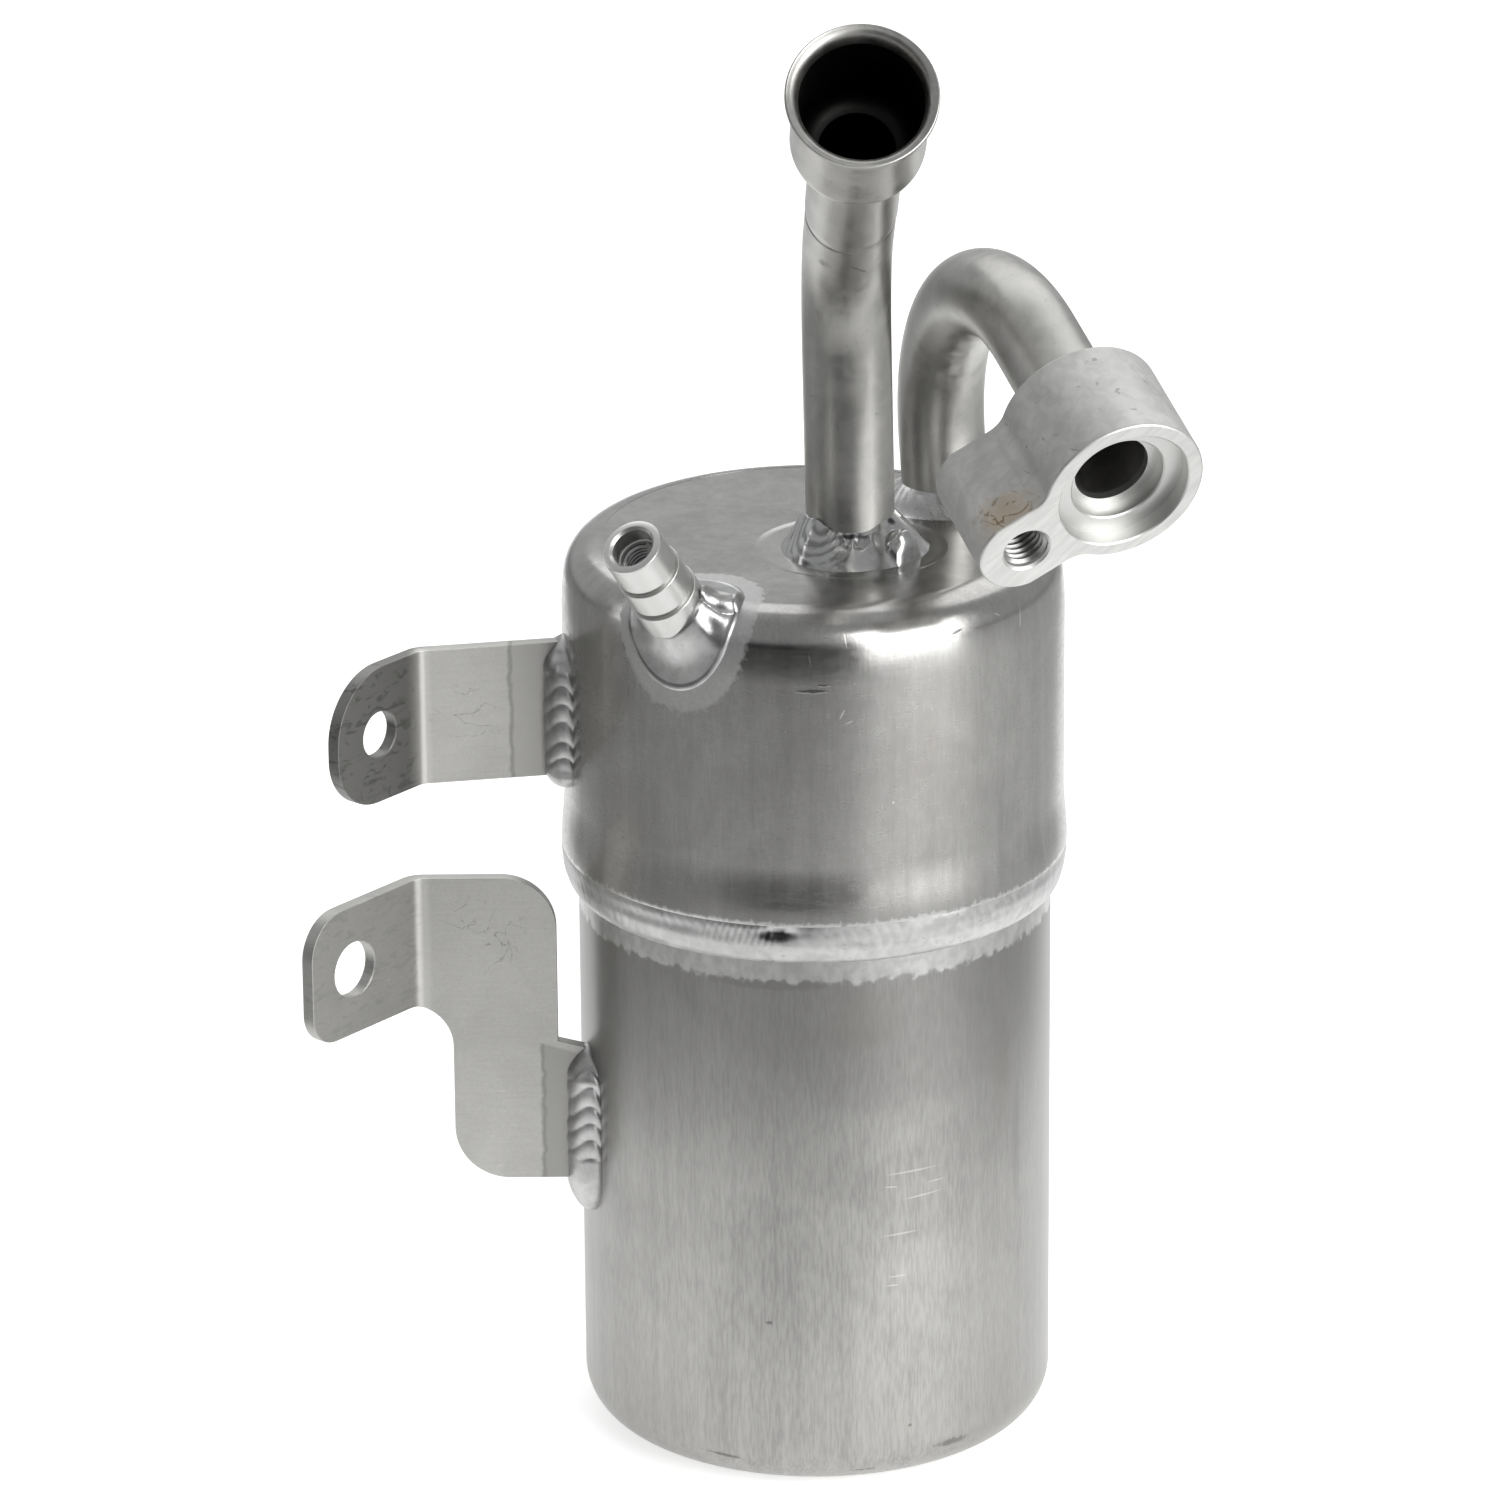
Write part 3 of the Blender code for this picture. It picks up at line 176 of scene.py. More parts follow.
class StageSettings(PropertyGroup):
    """Floor and lights."""
    floor: tint("Floor", (0.86, 0.86, 0.855), "Colour of the floor")
    glow: FloatProperty(name="Glow", description="Light that the floor behind the part gives off",
                        default=0.6, min=0.0)
    overhead: FloatProperty(name="Overhead", description="Power of the overhead softbox in watts",
                            default=7.5, min=0.0)
    side: FloatProperty(name="Side", description="Power of the softbox on the right in watts",
                        default=6.65, min=0.0)
    strip: FloatProperty(name="Strip", description="Power of the narrow strip on the left in watts",
                         default=0.3, min=0.0)
    surroundings: FloatProperty(name="Surroundings", description="Strength of the pale room",
                                default=1.0, min=0.0)


# Places that the sizes above are measured from
INLET_FOOT = Vector((6.7, -7.2, 168.0)) * MM
INLET_LEAN = math.radians(0.9)
INLET_BURIED = 9.5 * MM
INLET_RISE = 37.5 * MM
INLET_BEND = (30.0 * MM, math.radians(51.6), math.radians(-87.2))
INLET_REACH = 63.8 * MM
NECK_LENGTH = 26.0 * MM
OUTLET_FOOT = Vector((24.0, 18.7, 168.0)) * MM
OUTLET_BURIED = 15.5 * MM
OUTLET_SQUARE_RISE = 3.0 * MM
OUTLET_LEAN = (30.0 * MM, math.radians(4.0), math.radians(200.0))
OUTLET_RISE = 7.0 * MM
OUTLET_BEND = (36.5 * MM, math.radians(112.9), math.radians(-70.1))
OUTLET_REACH = 33.5 * MM
BLOCK_ROLL = math.radians(33.2)
STOP_THICKNESS = 1.5 * MM
PORT_AZIMUTH = math.radians(235.0)
PORT_ELEVATION = math.radians(50.0)
PORT_GROOVES = (6.6 * MM, 13.2 * MM)
PORT_WELD_SHIFT = 1.0 * MM
TAB_HEADING = math.radians(230.0)
UPPER_PLATE = (math.radians(190.0), 71.0 * MM, 0.0)
LOWER_PLATE = (math.radians(180.0), 71.5 * MM, 12.0 * MM)
GAP = 0.3 * MM
# A thread's root lies this far inside the wall of its hole
THREAD_SUNK = 0.03 * MM


# Shaping

def heading(angle):
    return Vector((math.cos(angle), math.sin(angle), 0.0))


def frame_at(point, z_axis, x_hint):
    """A matrix at a point, with its Z axis along z_axis and its X axis near x_hint."""
    z = Vector(z_axis).normalized()
    x = (Vector(x_hint) - z * z.dot(Vector(x_hint))).normalized()
    return Matrix.Translation(point) @ Matrix((x, z.cross(x), z)).transposed().to_4x4()


def arc(centre, radius, start, end, steps):
    """Points of an arc in degrees, both ends included."""
    angles = [math.radians(start + (end - start) * i / steps) for i in range(steps + 1)]
    return [(centre[0] + radius * math.cos(a), centre[1] + radius * math.sin(a)) for a in angles]


def smooth(low, high, value):
    """0 below low, 1 above high and an easy slope between."""
    t = min(1.0, max(0.0, (value - low) / (high - low)))
    return t * t * (3.0 - 2.0 * t)


def lathe(profile, steps, place=None, closed=False):
    """Spins a line of (radius, height) points once round the local Z axis."""
    shape = bmesh.new()
    verts = [shape.verts.new((r, 0.0, z)) for r, z in profile]
    edges = [shape.edges.new(pair) for pair in zip(verts, verts[1:])]
    if closed:
        edges.append(shape.edges.new((verts[-1], verts[0])))
    bmesh.ops.spin(shape, geom=verts + edges, cent=(0, 0, 0), axis=(0, 0, 1), dvec=(0, 0, 0),
                   angle=2 * math.pi, steps=steps, use_merge=True, use_normal_flip=False,
                   use_duplicate=False)
    bmesh.ops.remove_doubles(shape, verts=shape.verts, dist=0.002 * MM)
    bmesh.ops.recalc_face_normals(shape, faces=shape.faces)
    if place is not None:
        bmesh.ops.transform(shape, matrix=place, verts=shape.verts)
    return shape


def prism(outline, thickness, edge, edge_steps=2):
    """An outline in the local XY plane, pushed down by a thickness, with broken rims."""
    shape = bmesh.new()
    base = shape.faces.new([shape.verts.new((x, y, -thickness)) for x, y in outline])
    grown = bmesh.ops.extrude_face_region(shape, geom=[base])["geom"]
    moved = [item for item in grown if isinstance(item, bmesh.types.BMVert)]
    bmesh.ops.translate(shape, vec=(0, 0, thickness), verts=moved)
    bmesh.ops.recalc_face_normals(shape, faces=shape.faces)
    if edge:
        rims = [e for e in shape.edges if abs(e.verts[0].co.z - e.verts[1].co.z) < 0.5 * thickness]
        bmesh.ops.bevel(shape, geom=rims, offset=edge, offset_type="OFFSET", segments=edge_steps,
                        profile=0.5, affect="EDGES", material=-1, clamp_overlap=True)
    return shape


def corner(x, y, radius, start, steps):
    """The quarter round, from start degrees on, that rounds off the corner at (x, y)."""
    middle = math.radians(start + 45)
    centre = (x - math.copysign(radius, math.cos(middle)), y - math.copysign(radius, math.sin(middle)))
    return arc(centre, radius, start, start + 90, steps)


class Skin:
    """A tube's surface, drawn ring by ring along straight runs and bends."""

    def __init__(self, point, direction, radius, faces):
        self.shape = bmesh.new()
        self.point = Vector(point)
        self.direction = Vector(direction).normalized()
        self.radius = radius
        place = frame_at(self.point, self.direction, (1.0, 0.0, 0.0))
        bmesh.ops.create_circle(self.shape, cap_ends=False, segments=faces, radius=radius,
                                matrix=place)
        self.ring = self.shape.edges[:]
        self.first = self.ring
        self.bends = []

    def ring_verts(self):
        return list({vert for edge in self.ring for vert in edge.verts})

    def go(self, length, radius=None, steps=1):
        """Runs straight on, or back with a negative length, and may change the radius."""
        start = self.radius
        for i in range(steps):
            grown = bmesh.ops.extrude_edge_only(self.shape, edges=self.ring)["geom"]
            fresh = {item for item in grown if isinstance(item, bmesh.types.BMVert)}
            self.ring = [item for item in grown if isinstance(item, bmesh.types.BMEdge)
                         and item.verts[0] in fresh and item.verts[1] in fresh]
            move = self.direction * (length / steps)
            bmesh.ops.translate(self.shape, vec=move, verts=list(fresh))
            self.point = self.point + move
            if radius is not None:
                share = start + (radius - start) * (i + 1) / steps
                bmesh.ops.scale(self.shape, vec=(share / self.radius,) * 3, verts=list(fresh),
                                space=Matrix.Translation(-self.point))
                self.radius = share

    def spin(self, pivot, axis, angle, steps):
        last = bmesh.ops.spin(self.shape, geom=self.ring_verts() + self.ring, cent=pivot,
                              axis=axis, dvec=(0, 0, 0), angle=angle, steps=steps,
                              use_merge=False, use_normal_flip=False,
                              use_duplicate=False)["geom_last"]
        self.ring = [item for item in last if isinstance(item, bmesh.types.BMEdge)]
        rotation = Matrix.Rotation(angle, 3, axis)
        self.point = pivot + rotation @ (self.point - pivot)
        self.direction = rotation @ self.direction

    def bend(self, toward, bend_radius, angle, steps):
        side = (toward - self.direction * self.direction.dot(toward)).normalized()
        pivot = self.point + side * bend_radius
        axis = self.direction.cross(side)
        self.bends.append((pivot, axis, angle, steps))
        self.spin(pivot, axis, angle, steps)

    def unbend(self):
        """Goes back round the last bend."""
        pivot, axis, angle, steps = self.bends.pop()
        self.spin(pivot, axis, -angle, steps)

    def close(self):
        bmesh.ops.bridge_loops(self.shape, edges=self.first + self.ring)
        bmesh.ops.recalc_face_normals(self.shape, faces=self.shape.faces)
        return self.shape


def coil(root, crest, pitch, turns, steps=40):
    """The ridge of an inner thread, rising along the local Z axis."""
    shape = bmesh.new()
    section = ((root, -0.46), (crest, -0.09), (crest, 0.09), (root, 0.46))
    verts = [shape.verts.new((r, 0.0, h * pitch)) for r, h in section]
    edges = [shape.edges.new((verts[i - 1], verts[i])) for i in range(4)]
    bmesh.ops.spin(shape, geom=verts + edges, cent=(0, 0, 0), axis=(0, 0, 1),
                   dvec=(0, 0, pitch / steps), angle=2 * math.pi * turns,
                   steps=round(steps * turns), use_merge=False, use_normal_flip=False,
                   use_duplicate=False)
    ends = [edge for edge in shape.edges if edge.is_boundary]
    bmesh.ops.holes_fill(shape, edges=ends, sides=4)
    bmesh.ops.recalc_face_normals(shape, faces=shape.faces)
    return shape


def loose_object(name, shape):
    mesh = bpy.data.meshes.new(name)
    shape.to_mesh(mesh)
    shape.free()
    piece = bpy.data.objects.new(name, mesh)
    bpy.context.scene.collection.objects.link(piece)
    return piece


def baked(piece):
    """The mesh of a helper object with its modifiers applied, as a bmesh; the helper goes."""
    bpy.context.view_layer.update()
    graph = bpy.context.evaluated_depsgraph_get()
    mesh = bpy.data.meshes.new_from_object(piece.evaluated_get(graph))
    shape = bmesh.new()
    shape.from_mesh(mesh)
    bpy.data.meshes.remove(mesh)
    discard(piece)
    return shape


def discard(piece):
    mesh = piece.data
    bpy.data.objects.remove(piece, do_unlink=True)
    bpy.data.meshes.remove(mesh)


def carved(shape, cutters):
    """A shape with the cutter shapes taken out of it."""
    body = loose_object("carved_body", shape)
    tools = [loose_object("carving_tool", cutter) for cutter in cutters]
    for tool in tools:
        cut = body.modifiers.new("cut", "BOOLEAN")
        cut.operation = "DIFFERENCE"
        cut.solver = "EXACT"
        cut.object = tool
    result = baked(body)
    for tool in tools:
        discard(tool)
    if not result.faces:
        raise RuntimeError("A cut left nothing of a piece.")
    return result


def publish(name, shape, finish, node=None, sharp=32.0, second=None):
    """Makes a finished piece from a shape, riding on the root body."""
    piece = loose_object(name, shape)
    piece.data.shade_smooth()
    piece.data.set_sharp_from_angle(angle=math.radians(sharp))
    piece.data.materials.append(finish)
    if second is not None:
        piece.data.materials.append(second)
    weighted = piece.modifiers.new("flat_faces", "WEIGHTED_NORMAL")
    weighted.keep_sharp = True
    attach(piece, "root")
    if node:
        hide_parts(node)
    return piece


def push(shape, amount):
    """Moves each vertex along its normal by amount(its position)."""
    shape.normal_update()
    moves = [(vert, vert.normal * amount(vert.co)) for vert in shape.verts]
    for vert, move in moves:
        vert.co += move


# Materials

class Value:
    """A number that changes over a surface; sums on it add Math nodes."""

    def __init__(self, finish, socket):
        self.finish = finish
        self.socket = socket

    def math(self, operation, first, second=0.0):
        node = self.finish.node("ShaderNodeMath", {"operation": operation}, {0: first, 1: second})
        return Value(self.finish, node.outputs[0])

    def __add__(self, other):
        return self.math("ADD", self, other)

    def __sub__(self, other):
        return self.math("SUBTRACT", self, other)

    def __rsub__(self, other):
        return self.math("SUBTRACT", other, self)

    def __mul__(self, other):
        return self.math("MULTIPLY", self, other)

    __radd__ = __add__
    __rmul__ = __mul__

    def power(self, exponent):
        return self.math("POWER", self, exponent)

    def or_more(self, other):
        return self.math("MAXIMUM", self, other)

    def wave(self):
        return self.math("SINE", self)


class Graph:
    """A tree of shader nodes that reads one set of coordinates."""

    def __init__(self, tree, coordinates):
        self.nodes = tree.nodes
        self.links = tree.links
        self.place = self.node("ShaderNodeTexCoord").outputs[coordinates]

    def node(self, kind, settings=None, inputs=None):
        node = self.nodes.new(kind)
        for key, value in (settings or {}).items():
            if key == "stops":
                while len(node.color_ramp.elements) < len(value):
                    node.color_ramp.elements.new(0.5)
                for element, (position, colour) in zip(node.color_ramp.elements, value):
                    element.position = position
                    element.color = (*colour, 1.0)
            else:
                setattr(node, key, value)
        for key, value in (inputs or {}).items():
            self.feed(node.inputs[key], value)
        return node

    def feed(self, socket, value):
        if isinstance(value, Value):
            value = value.socket
        if isinstance(value, bpy.types.NodeSocket):
            self.links.new(value, socket)
        elif socket.type == "RGBA" and len(value) == 3:
            socket.default_value = (*value, 1.0)
        else:
            socket.default_value = value

    def axis(self, name):
        node = self.node("ShaderNodeSeparateXYZ", None, {0: self.place})
        return Value(self, node.outputs[name])

    def grain(self, stretch, detail=2.0, distortion=0.0, turned=(0.0, 0.0, 0.0), lift=0.5):
        """Noise from 0 to 1, with so many features per metre along each axis or along all."""
        if isinstance(stretch, float):
            stretch = (stretch,) * 3
        stretched = self.node("ShaderNodeMapping", {"vector_type": "POINT"},
                              {"Vector": self.place, "Rotation": turned, "Scale": stretch})
        speckle = self.node("ShaderNodeTexNoise", {"noise_dimensions": "3D"},
                            {"Vector": stretched.outputs[0], "Scale": 1.0, "Detail": detail,
                             "Roughness": lift, "Distortion": distortion})
        return Value(self, speckle.outputs[0])

    def step(self, value, low, high):
        """0 to 1 as a value goes from low to high, in an easy slope."""
        node = self.node("ShaderNodeMapRange", {"interpolation_type": "SMOOTHSTEP"},
                         {"Value": value, "From Min": low, "From Max": high})
        return Value(self, node.outputs[0])

    def mixed(self, factor, first, second):
        node = self.node("ShaderNodeMix", {"data_type": "RGBA", "clamp_factor": True},
                         {0: factor, 6: first, 7: second})
        return node.outputs[2]


class Finish(Graph):
    """A procedural material on one Principled shader."""

    def __init__(self, name, metallic=1.0, roughness=0.35):
        self.material = bpy.data.materials.new(name)
        self.material.use_nodes = True
        super().__init__(self.material.node_tree, "Object")
        self.shader = self.nodes["Principled BSDF"]
        self.shader.inputs["Metallic"].default_value = metallic
        self.shader.inputs["Roughness"].default_value = roughness
        self.relief = None

    def distance(self, centre, reach=(1.0, 1.0, 1.0), turned=(0.0, 0.0, 0.0)):
        """Distance from a point in millimetres, measured in a stretched and turned frame."""
        local = self.node("ShaderNodeMapping", {"vector_type": "TEXTURE"},
                          {"Vector": self.place, "Location": Vector(centre) * MM,
                           "Rotation": turned, "Scale": Vector(reach) * MM})
        node = self.node("ShaderNodeVectorMath", {"operation": "LENGTH"}, {0: local.outputs[0]})
        return Value(self, node.outputs["Value"])

    def round_axis(self, place):
        """Distance from a placed Z axis and height along it, in metres."""
        local = self.node("ShaderNodeMapping", {"vector_type": "TEXTURE"},
                          {"Vector": self.place, "Location": place.translation,
                           "Rotation": place.to_euler()}).outputs[0]
        parts = self.node("ShaderNodeSeparateXYZ", None, {0: local})
        across, aside, depth = (Value(self, parts.outputs[i]) for i in range(3))
        return (across * across + aside * aside).power(0.5), depth

    def patch(self, centre, reach, turned=(0.0, 0.0, 0.0), rough=None, soft=0.5):
        """1 inside an ellipsoid given in millimetres, 0 outside, with a ragged edge."""
        away = self.distance(centre, reach, turned)
        if rough is not None:
            away = away + (rough - 0.5) * 1.2
        return 1.0 - self.step(away, 1.0 - soft, 1.0)

    def wall_mark(self, radius, x, z, half_length, half_height, slope=0.0, rough=None, soft=0.6):
        """A mark on the front of a round wall, given in millimetres."""
        y = -math.sqrt(radius**2 - x**2)
        turned = (0.0, slope, math.atan2(y, x) + math.pi / 2)
        return self.patch((x, y, z), (half_length, 3.0, half_height), turned, rough, soft)

    def wall_marks(self, radius, rows):
        """Several marks as one mask; each row holds the values of a wall_mark after its radius."""
        mask = self.wall_mark(radius, *rows[0])
        for row in rows[1:]:
            mask = mask.or_more(self.wall_mark(radius, *row))
        return mask

    def emboss(self, height, strength, depth):
        """Adds a bump in millimetres of depth on top of any that is there."""
        inputs = {"Height": height, "Strength": strength, "Distance": depth * MM}
        if self.relief is not None:
            inputs["Normal"] = self.relief
        self.relief = self.node("ShaderNodeBump", None, inputs).outputs[0]

    def done(self, colour, roughness=None, metallic=None):
        self.feed(self.shader.inputs["Base Color"], colour)
        if roughness is not None:
            self.feed(self.shader.inputs["Roughness"], roughness)
        if metallic is not None:
            self.feed(self.shader.inputs["Metallic"], metallic)
        if self.relief is not None:
            self.feed(self.shader.inputs["Normal"], self.relief)
        return self.material


def shade(colour, factor):
    return tuple(min(1.0, channel * factor) for channel in colour)


def drawn_base(finish, colour, streak_strength, streaks=0.4):
    """Vertical draw lines and cloudy patches that both shells share."""
    broad = finish.grain((420.0, 420.0, 14.0), 3.0)
    fine = finish.grain((2300.0, 2300.0, 300.0), 3.0)
    cloud = finish.grain((55.0, 55.0, 60.0), 4.0, 0.6)
    tone = finish.step(broad, 0.25, 0.75) * 0.3 + finish.step(fine, 0.3, 0.7) * streaks
    tone = tone + finish.step(cloud, 0.3, 0.7) * (0.7 - streaks)
    low = shade(colour, 1.0 - streak_strength)
    high = shade(colour, 1.0 + streak_strength)
    return broad, fine, cloud, finish.mixed(tone, low, high)


def upper_shell_finish(colours, port):
    finish = Finish("drawn_aluminium_upper")
    base = colours.drawn
    broad, fine, cloud, colour = drawn_base(finish, base, 0.2, 0.25)
    wiped = finish.step(finish.grain((330.0, 330.0, 1100.0), 4.0, 0.8), 0.3, 0.7)
    colour = finish.mixed(wiped * 0.2, colour, shade(base, 0.84))
    height = finish.axis("Z")
    ragged = finish.grain((900.0, 900.0, 700.0), 3.0)
    # Greyer, streakier band just above the waist
    low_band = 1.0 - finish.step(height + (broad - 0.5) * 0.018, 112.0 * MM, 122.0 * MM)
    colour = finish.mixed(low_band * 0.35, colour, shade(base, 0.72))
    # The weld's bright splash laps over the swollen edge
    splash = 1.0 - finish.step(height + (ragged - 0.5) * 0.004, 110.9 * MM, 111.5 * MM)
    colour = finish.mixed(splash * 0.8, colour, shade(colours.weld, 1.15))
    smudge = finish.patch((-4.5, -44.5, 114.4), (9.0, 3.0, 1.1), rough=ragged, soft=0.6)
    colour = finish.mixed(smudge * 0.4, colour, shade(base, 0.45))
    # Brushed ring round the service port
    around, depth = finish.round_axis(port)
    torn = finish.grain(700.0, 4.0)
    ring = 1.0 - finish.step(around + (torn - 0.5) * 0.0024, 12.8 * MM, 13.8 * MM)
    brushed = finish.grain(1500.0, 3.0)
    scoured = finish.mixed(brushed, shade(colours.weld, 0.85), shade(colours.weld, 1.25))
    colour = finish.mixed(ring * 0.85, colour, scoured)
    # Light line beside the upper bracket's weld
    edge = finish.patch((-42.9, -13.6, 141.0), (0.6, 0.7, 19.0), soft=0.5)
    colour = finish.mixed(edge * 0.5, colour, shade(base, 1.7))
    # Cleaned ring round the inlet
    dish = 1.0 - finish.step(finish.distance((6.7, -7.2, 168.0)), 16.9, 17.3)
    colour = finish.mixed(dish * 0.35, colour, shade(base, 1.22))
    # Scuffs, nicks and dirt where the photograph has them
    dirt = finish.grain((700.0, 700.0, 1400.0), 4.0, 1.0)
    radius = 45.0
    scuff = finish.wall_marks(radius, (
        (-0.5, 154.5, 3.4, 0.42, 0.0, dirt),
        (1.5, 155.6, 1.2, 0.3, 0.0, dirt),
        (25.0, 162.6, 1.6, 0.3, -0.2, dirt)))
    colour = finish.mixed(scuff * 0.8, colour, shade(base, 0.25))
    scratch = finish.wall_marks(radius, (
        (5.3, 163.6, 0.18, 2.1, -0.15),
        (-1.0, 160.2, 0.16, 1.4, -0.2),
        (36.4, 161.4, 0.2, 2.6, 0.15),
        (32.5, 163.4, 1.0, 0.16, 0.5),
        (4.6, 150.2, 0.25, 1.3, 0.5, dirt),
        (5.8, 148.6, 0.9, 0.2, -0.4, dirt),
        (13.5, 133.0, 0.3, 0.3, 0.0)))
    colour = finish.mixed(scratch * 0.8, colour, shade(base, 1.9))
    # Faint straight wipe marks on the flat top
    wipes = finish.grain((140.0, 1700.0, 200.0), 3.0, turned=(0.0, 0.0, 0.25))
    finish.emboss(broad * 0.7 + fine * 0.3, 0.3, 0.05)
    finish.emboss(wipes, 0.12, 0.03)
    finish.emboss(scuff, 0.5, 0.1)
    # Warmer patch on the right, and a glossier shoulder and top
    crown = finish.step(height, 155.0 * MM, 160.0 * MM)
    warm = finish.wall_mark(radius, 20.0, 142.0, 12.0, 18.0, 0.0, cloud, 0.8)
    colour = finish.mixed(warm * 0.22, colour, (0.47, 0.43, 0.395))
    finish.emboss(wiped, 0.04, 0.03)
    rough = 0.18 + (1.0 - crown) * 0.03 + wiped * 0.05 + cloud * 0.04 + ring * 0.28
    return finish.done(colour, rough)


def lower_shell_finish(colours):
    finish = Finish("drawn_aluminium_lower")
    base = colours.drawn
    broad, fine, cloud, colour = drawn_base(finish, shade(base, 0.88), 0.26)
    height = finish.axis("Z")
    ragged = finish.grain((500.0, 500.0, 400.0), 4.0)
    # Bright cleaned band under the waist weld, with a ragged lower edge
    band = finish.step(height + (ragged - 0.5) * 0.004, 98.4 * MM, 99.4 * MM)
    bright = finish.mixed(finish.step(ragged, 0.3, 0.7), shade(colours.weld, 0.86), shade(colours.weld, 1.12))
    colour = finish.mixed(band * 0.85, colour, bright)
    shadow = finish.patch((-10.0, -41.5, 98.3), (14.0, 8.0, 1.1), rough=ragged)
    colour = finish.mixed(shadow * 0.45, colour, shade(base, 0.5))
    # Cleaned strip beside the lower bracket's weld
    strip = finish.patch((-40.5, -18.8, 60.0), (2.4, 2.6, 17.0), rough=ragged, soft=0.2)
    colour = finish.mixed(strip * 0.5, colour, shade(colours.weld, 0.8))
    # Light scratches on the right, dark scuffs near the bottom corner
    radius = 42.7
    scratch = finish.wall_marks(radius, (
        (16.8, 61.3, 6.2, 0.24, -0.02),
        (18.8, 56.3, 5.0, 0.2, -0.06),
        (14.6, 49.5, 4.4, 0.2, -0.03),
        (14.2, 41.3, 2.2, 0.2, 0.0),
        (13.2, 39.6, 1.6, 0.2, 0.0),
        (21.0, 58.6, 2.4, 0.2, -0.05),
        (13.0, 58.8, 1.6, 0.2, 0.1)))
    colour = finish.mixed(scratch * 0.55, colour, shade(base, 1.5))
    dirt = finish.grain((900.0, 900.0, 500.0), 4.0, 1.0)
    scuff = finish.wall_marks(radius, (
        (-17.6, 5.6, 4.6, 0.5, 0.06, dirt),
        (24.0, 6.2, 4.6, 0.9, 0.0, dirt),
        (8.0, 3.2, 4.0, 0.3, 0.0, dirt),
        (16.3, 11.5, 0.5, 0.4, 0.0, dirt),
        (-9.0, 33.0, 0.8, 0.5, 0.0, dirt)))
    colour = finish.mixed(scuff * 0.75, colour, shade(base, 0.3))
    # Dark upright smears on the right and warm patches under the weld
    smear = finish.wall_mark(radius, 35.6, 60.0, 1.6, 16.0, 0.0, broad, 0.8)
    colour = finish.mixed(smear * 0.45, colour, shade(base, 0.5))
    warm = finish.wall_marks(radius, ((8.0, 92.0, 9.0, 7.0, 0.0, cloud, 0.8),
                                      (33.0, 78.0, 4.0, 16.0, 0.0, cloud, 0.8)))
    colour = finish.mixed(warm * 0.4, colour, (0.33, 0.29, 0.265))
    edge = finish.wall_mark(radius, -38.6, 60.0, 0.9, 17.0, 0.0, None, 0.5)
    colour = finish.mixed(edge * 0.45, colour, shade(base, 1.6))
    # Brown-grey tarnish low on the wall
    tarnish = (1.0 - finish.step(height, 6.0 * MM, 30.0 * MM)) * finish.step(cloud, 0.4, 0.75)
    colour = finish.mixed(tarnish * 0.3, colour, (0.25, 0.225, 0.19))
    # Painted shade: the upper half is painted darker than the lower one
    shadowed = finish.step(height + (broad - 0.5) * 0.02, 52.0 * MM, 92.0 * MM) * (1.0 - band)
    colour = finish.mixed(shadowed * 0.55, colour, shade(base, 0.5))
    # Painted shade: both sides are painted darker than the front
    aside = finish.axis("X") + (broad - 0.5) * 0.012
    painted_side_shade = finish.step(aside, 12.0 * MM, 36.0 * MM) * (1.0 - band)
    colour = finish.mixed(painted_side_shade * 0.45, colour, shade(base, 0.5))
    painted_side_shade = (1.0 - finish.step(aside, -36.0 * MM, -12.0 * MM)) * (1.0 - band)
    colour = finish.mixed(painted_side_shade * 0.35, colour, shade(base, 0.5))
    finish.emboss((broad * 0.45 + fine * 0.55) * (1.0 - band * 0.8), 0.5, 0.05)
    finish.emboss(scratch, 0.3, 0.03)
    rough = 0.26 + fine * 0.10 + cloud * 0.05
    return finish.done(colour, rough)


def weld_finish(name, colours, dark_spots=(), gloss=0.2, scales=None):
    """Bright cast-looking metal with a soft grain, a few pits and dark spots, some of them painted shadows.
    scales gives the place, the reach and the spacing in millimetres of rings of painted shade and painted
    highlight where each ripple froze."""
    finish = Finish(name)
    base = colours.weld
    grain = finish.grain(300.0, 4.0, 0.8)
    fine = finish.grain(1900.0, 3.0)
    tone = finish.step(grain, 0.3, 0.7) * 0.7 + fine * 0.3
    colour = finish.mixed(tone, shade(base, 0.8), shade(base, 1.14))
    pits = finish.step(finish.grain(1300.0, 1.0), 0.73, 0.77)
    colour = finish.mixed(pits * 0.5, colour, shade(base, 0.35))
    if scales is not None:
        centre, reach, spacing = scales
        away = finish.distance(centre, (1.0, 1.0, 2.2)) + grain * 0.9
        ring = (away * (2.0 * math.pi / spacing)).wave() * 0.5 + 0.5
        near = finish.patch(centre, reach, rough=grain, soft=0.4)
        # Painted shade and painted highlight in alternate rings over the ripples
        colour = finish.mixed(finish.step(ring, 0.45, 0.95) * near * 0.6, colour, shade(base, 0.32))
        colour = finish.mixed(finish.step(ring, 0.4, 0.0) * near * 0.35, colour, shade(base, 1.4))
    dark = None
    for centre, reach in dark_spots:
        spot = finish.patch(centre, reach, rough=grain, soft=0.7)
        dark = spot if dark is None else dark.or_more(spot)
    if dark is not None:
        colour = finish.mixed(dark * 0.9, colour, (0.02, 0.02, 0.02))
    finish.emboss(grain * 0.6 + fine * 0.4, 0.2, 0.06)
    finish.emboss(pits, -0.3, 0.05)
    return finish.done(colour, gloss + grain * 0.10 + fine * 0.05)


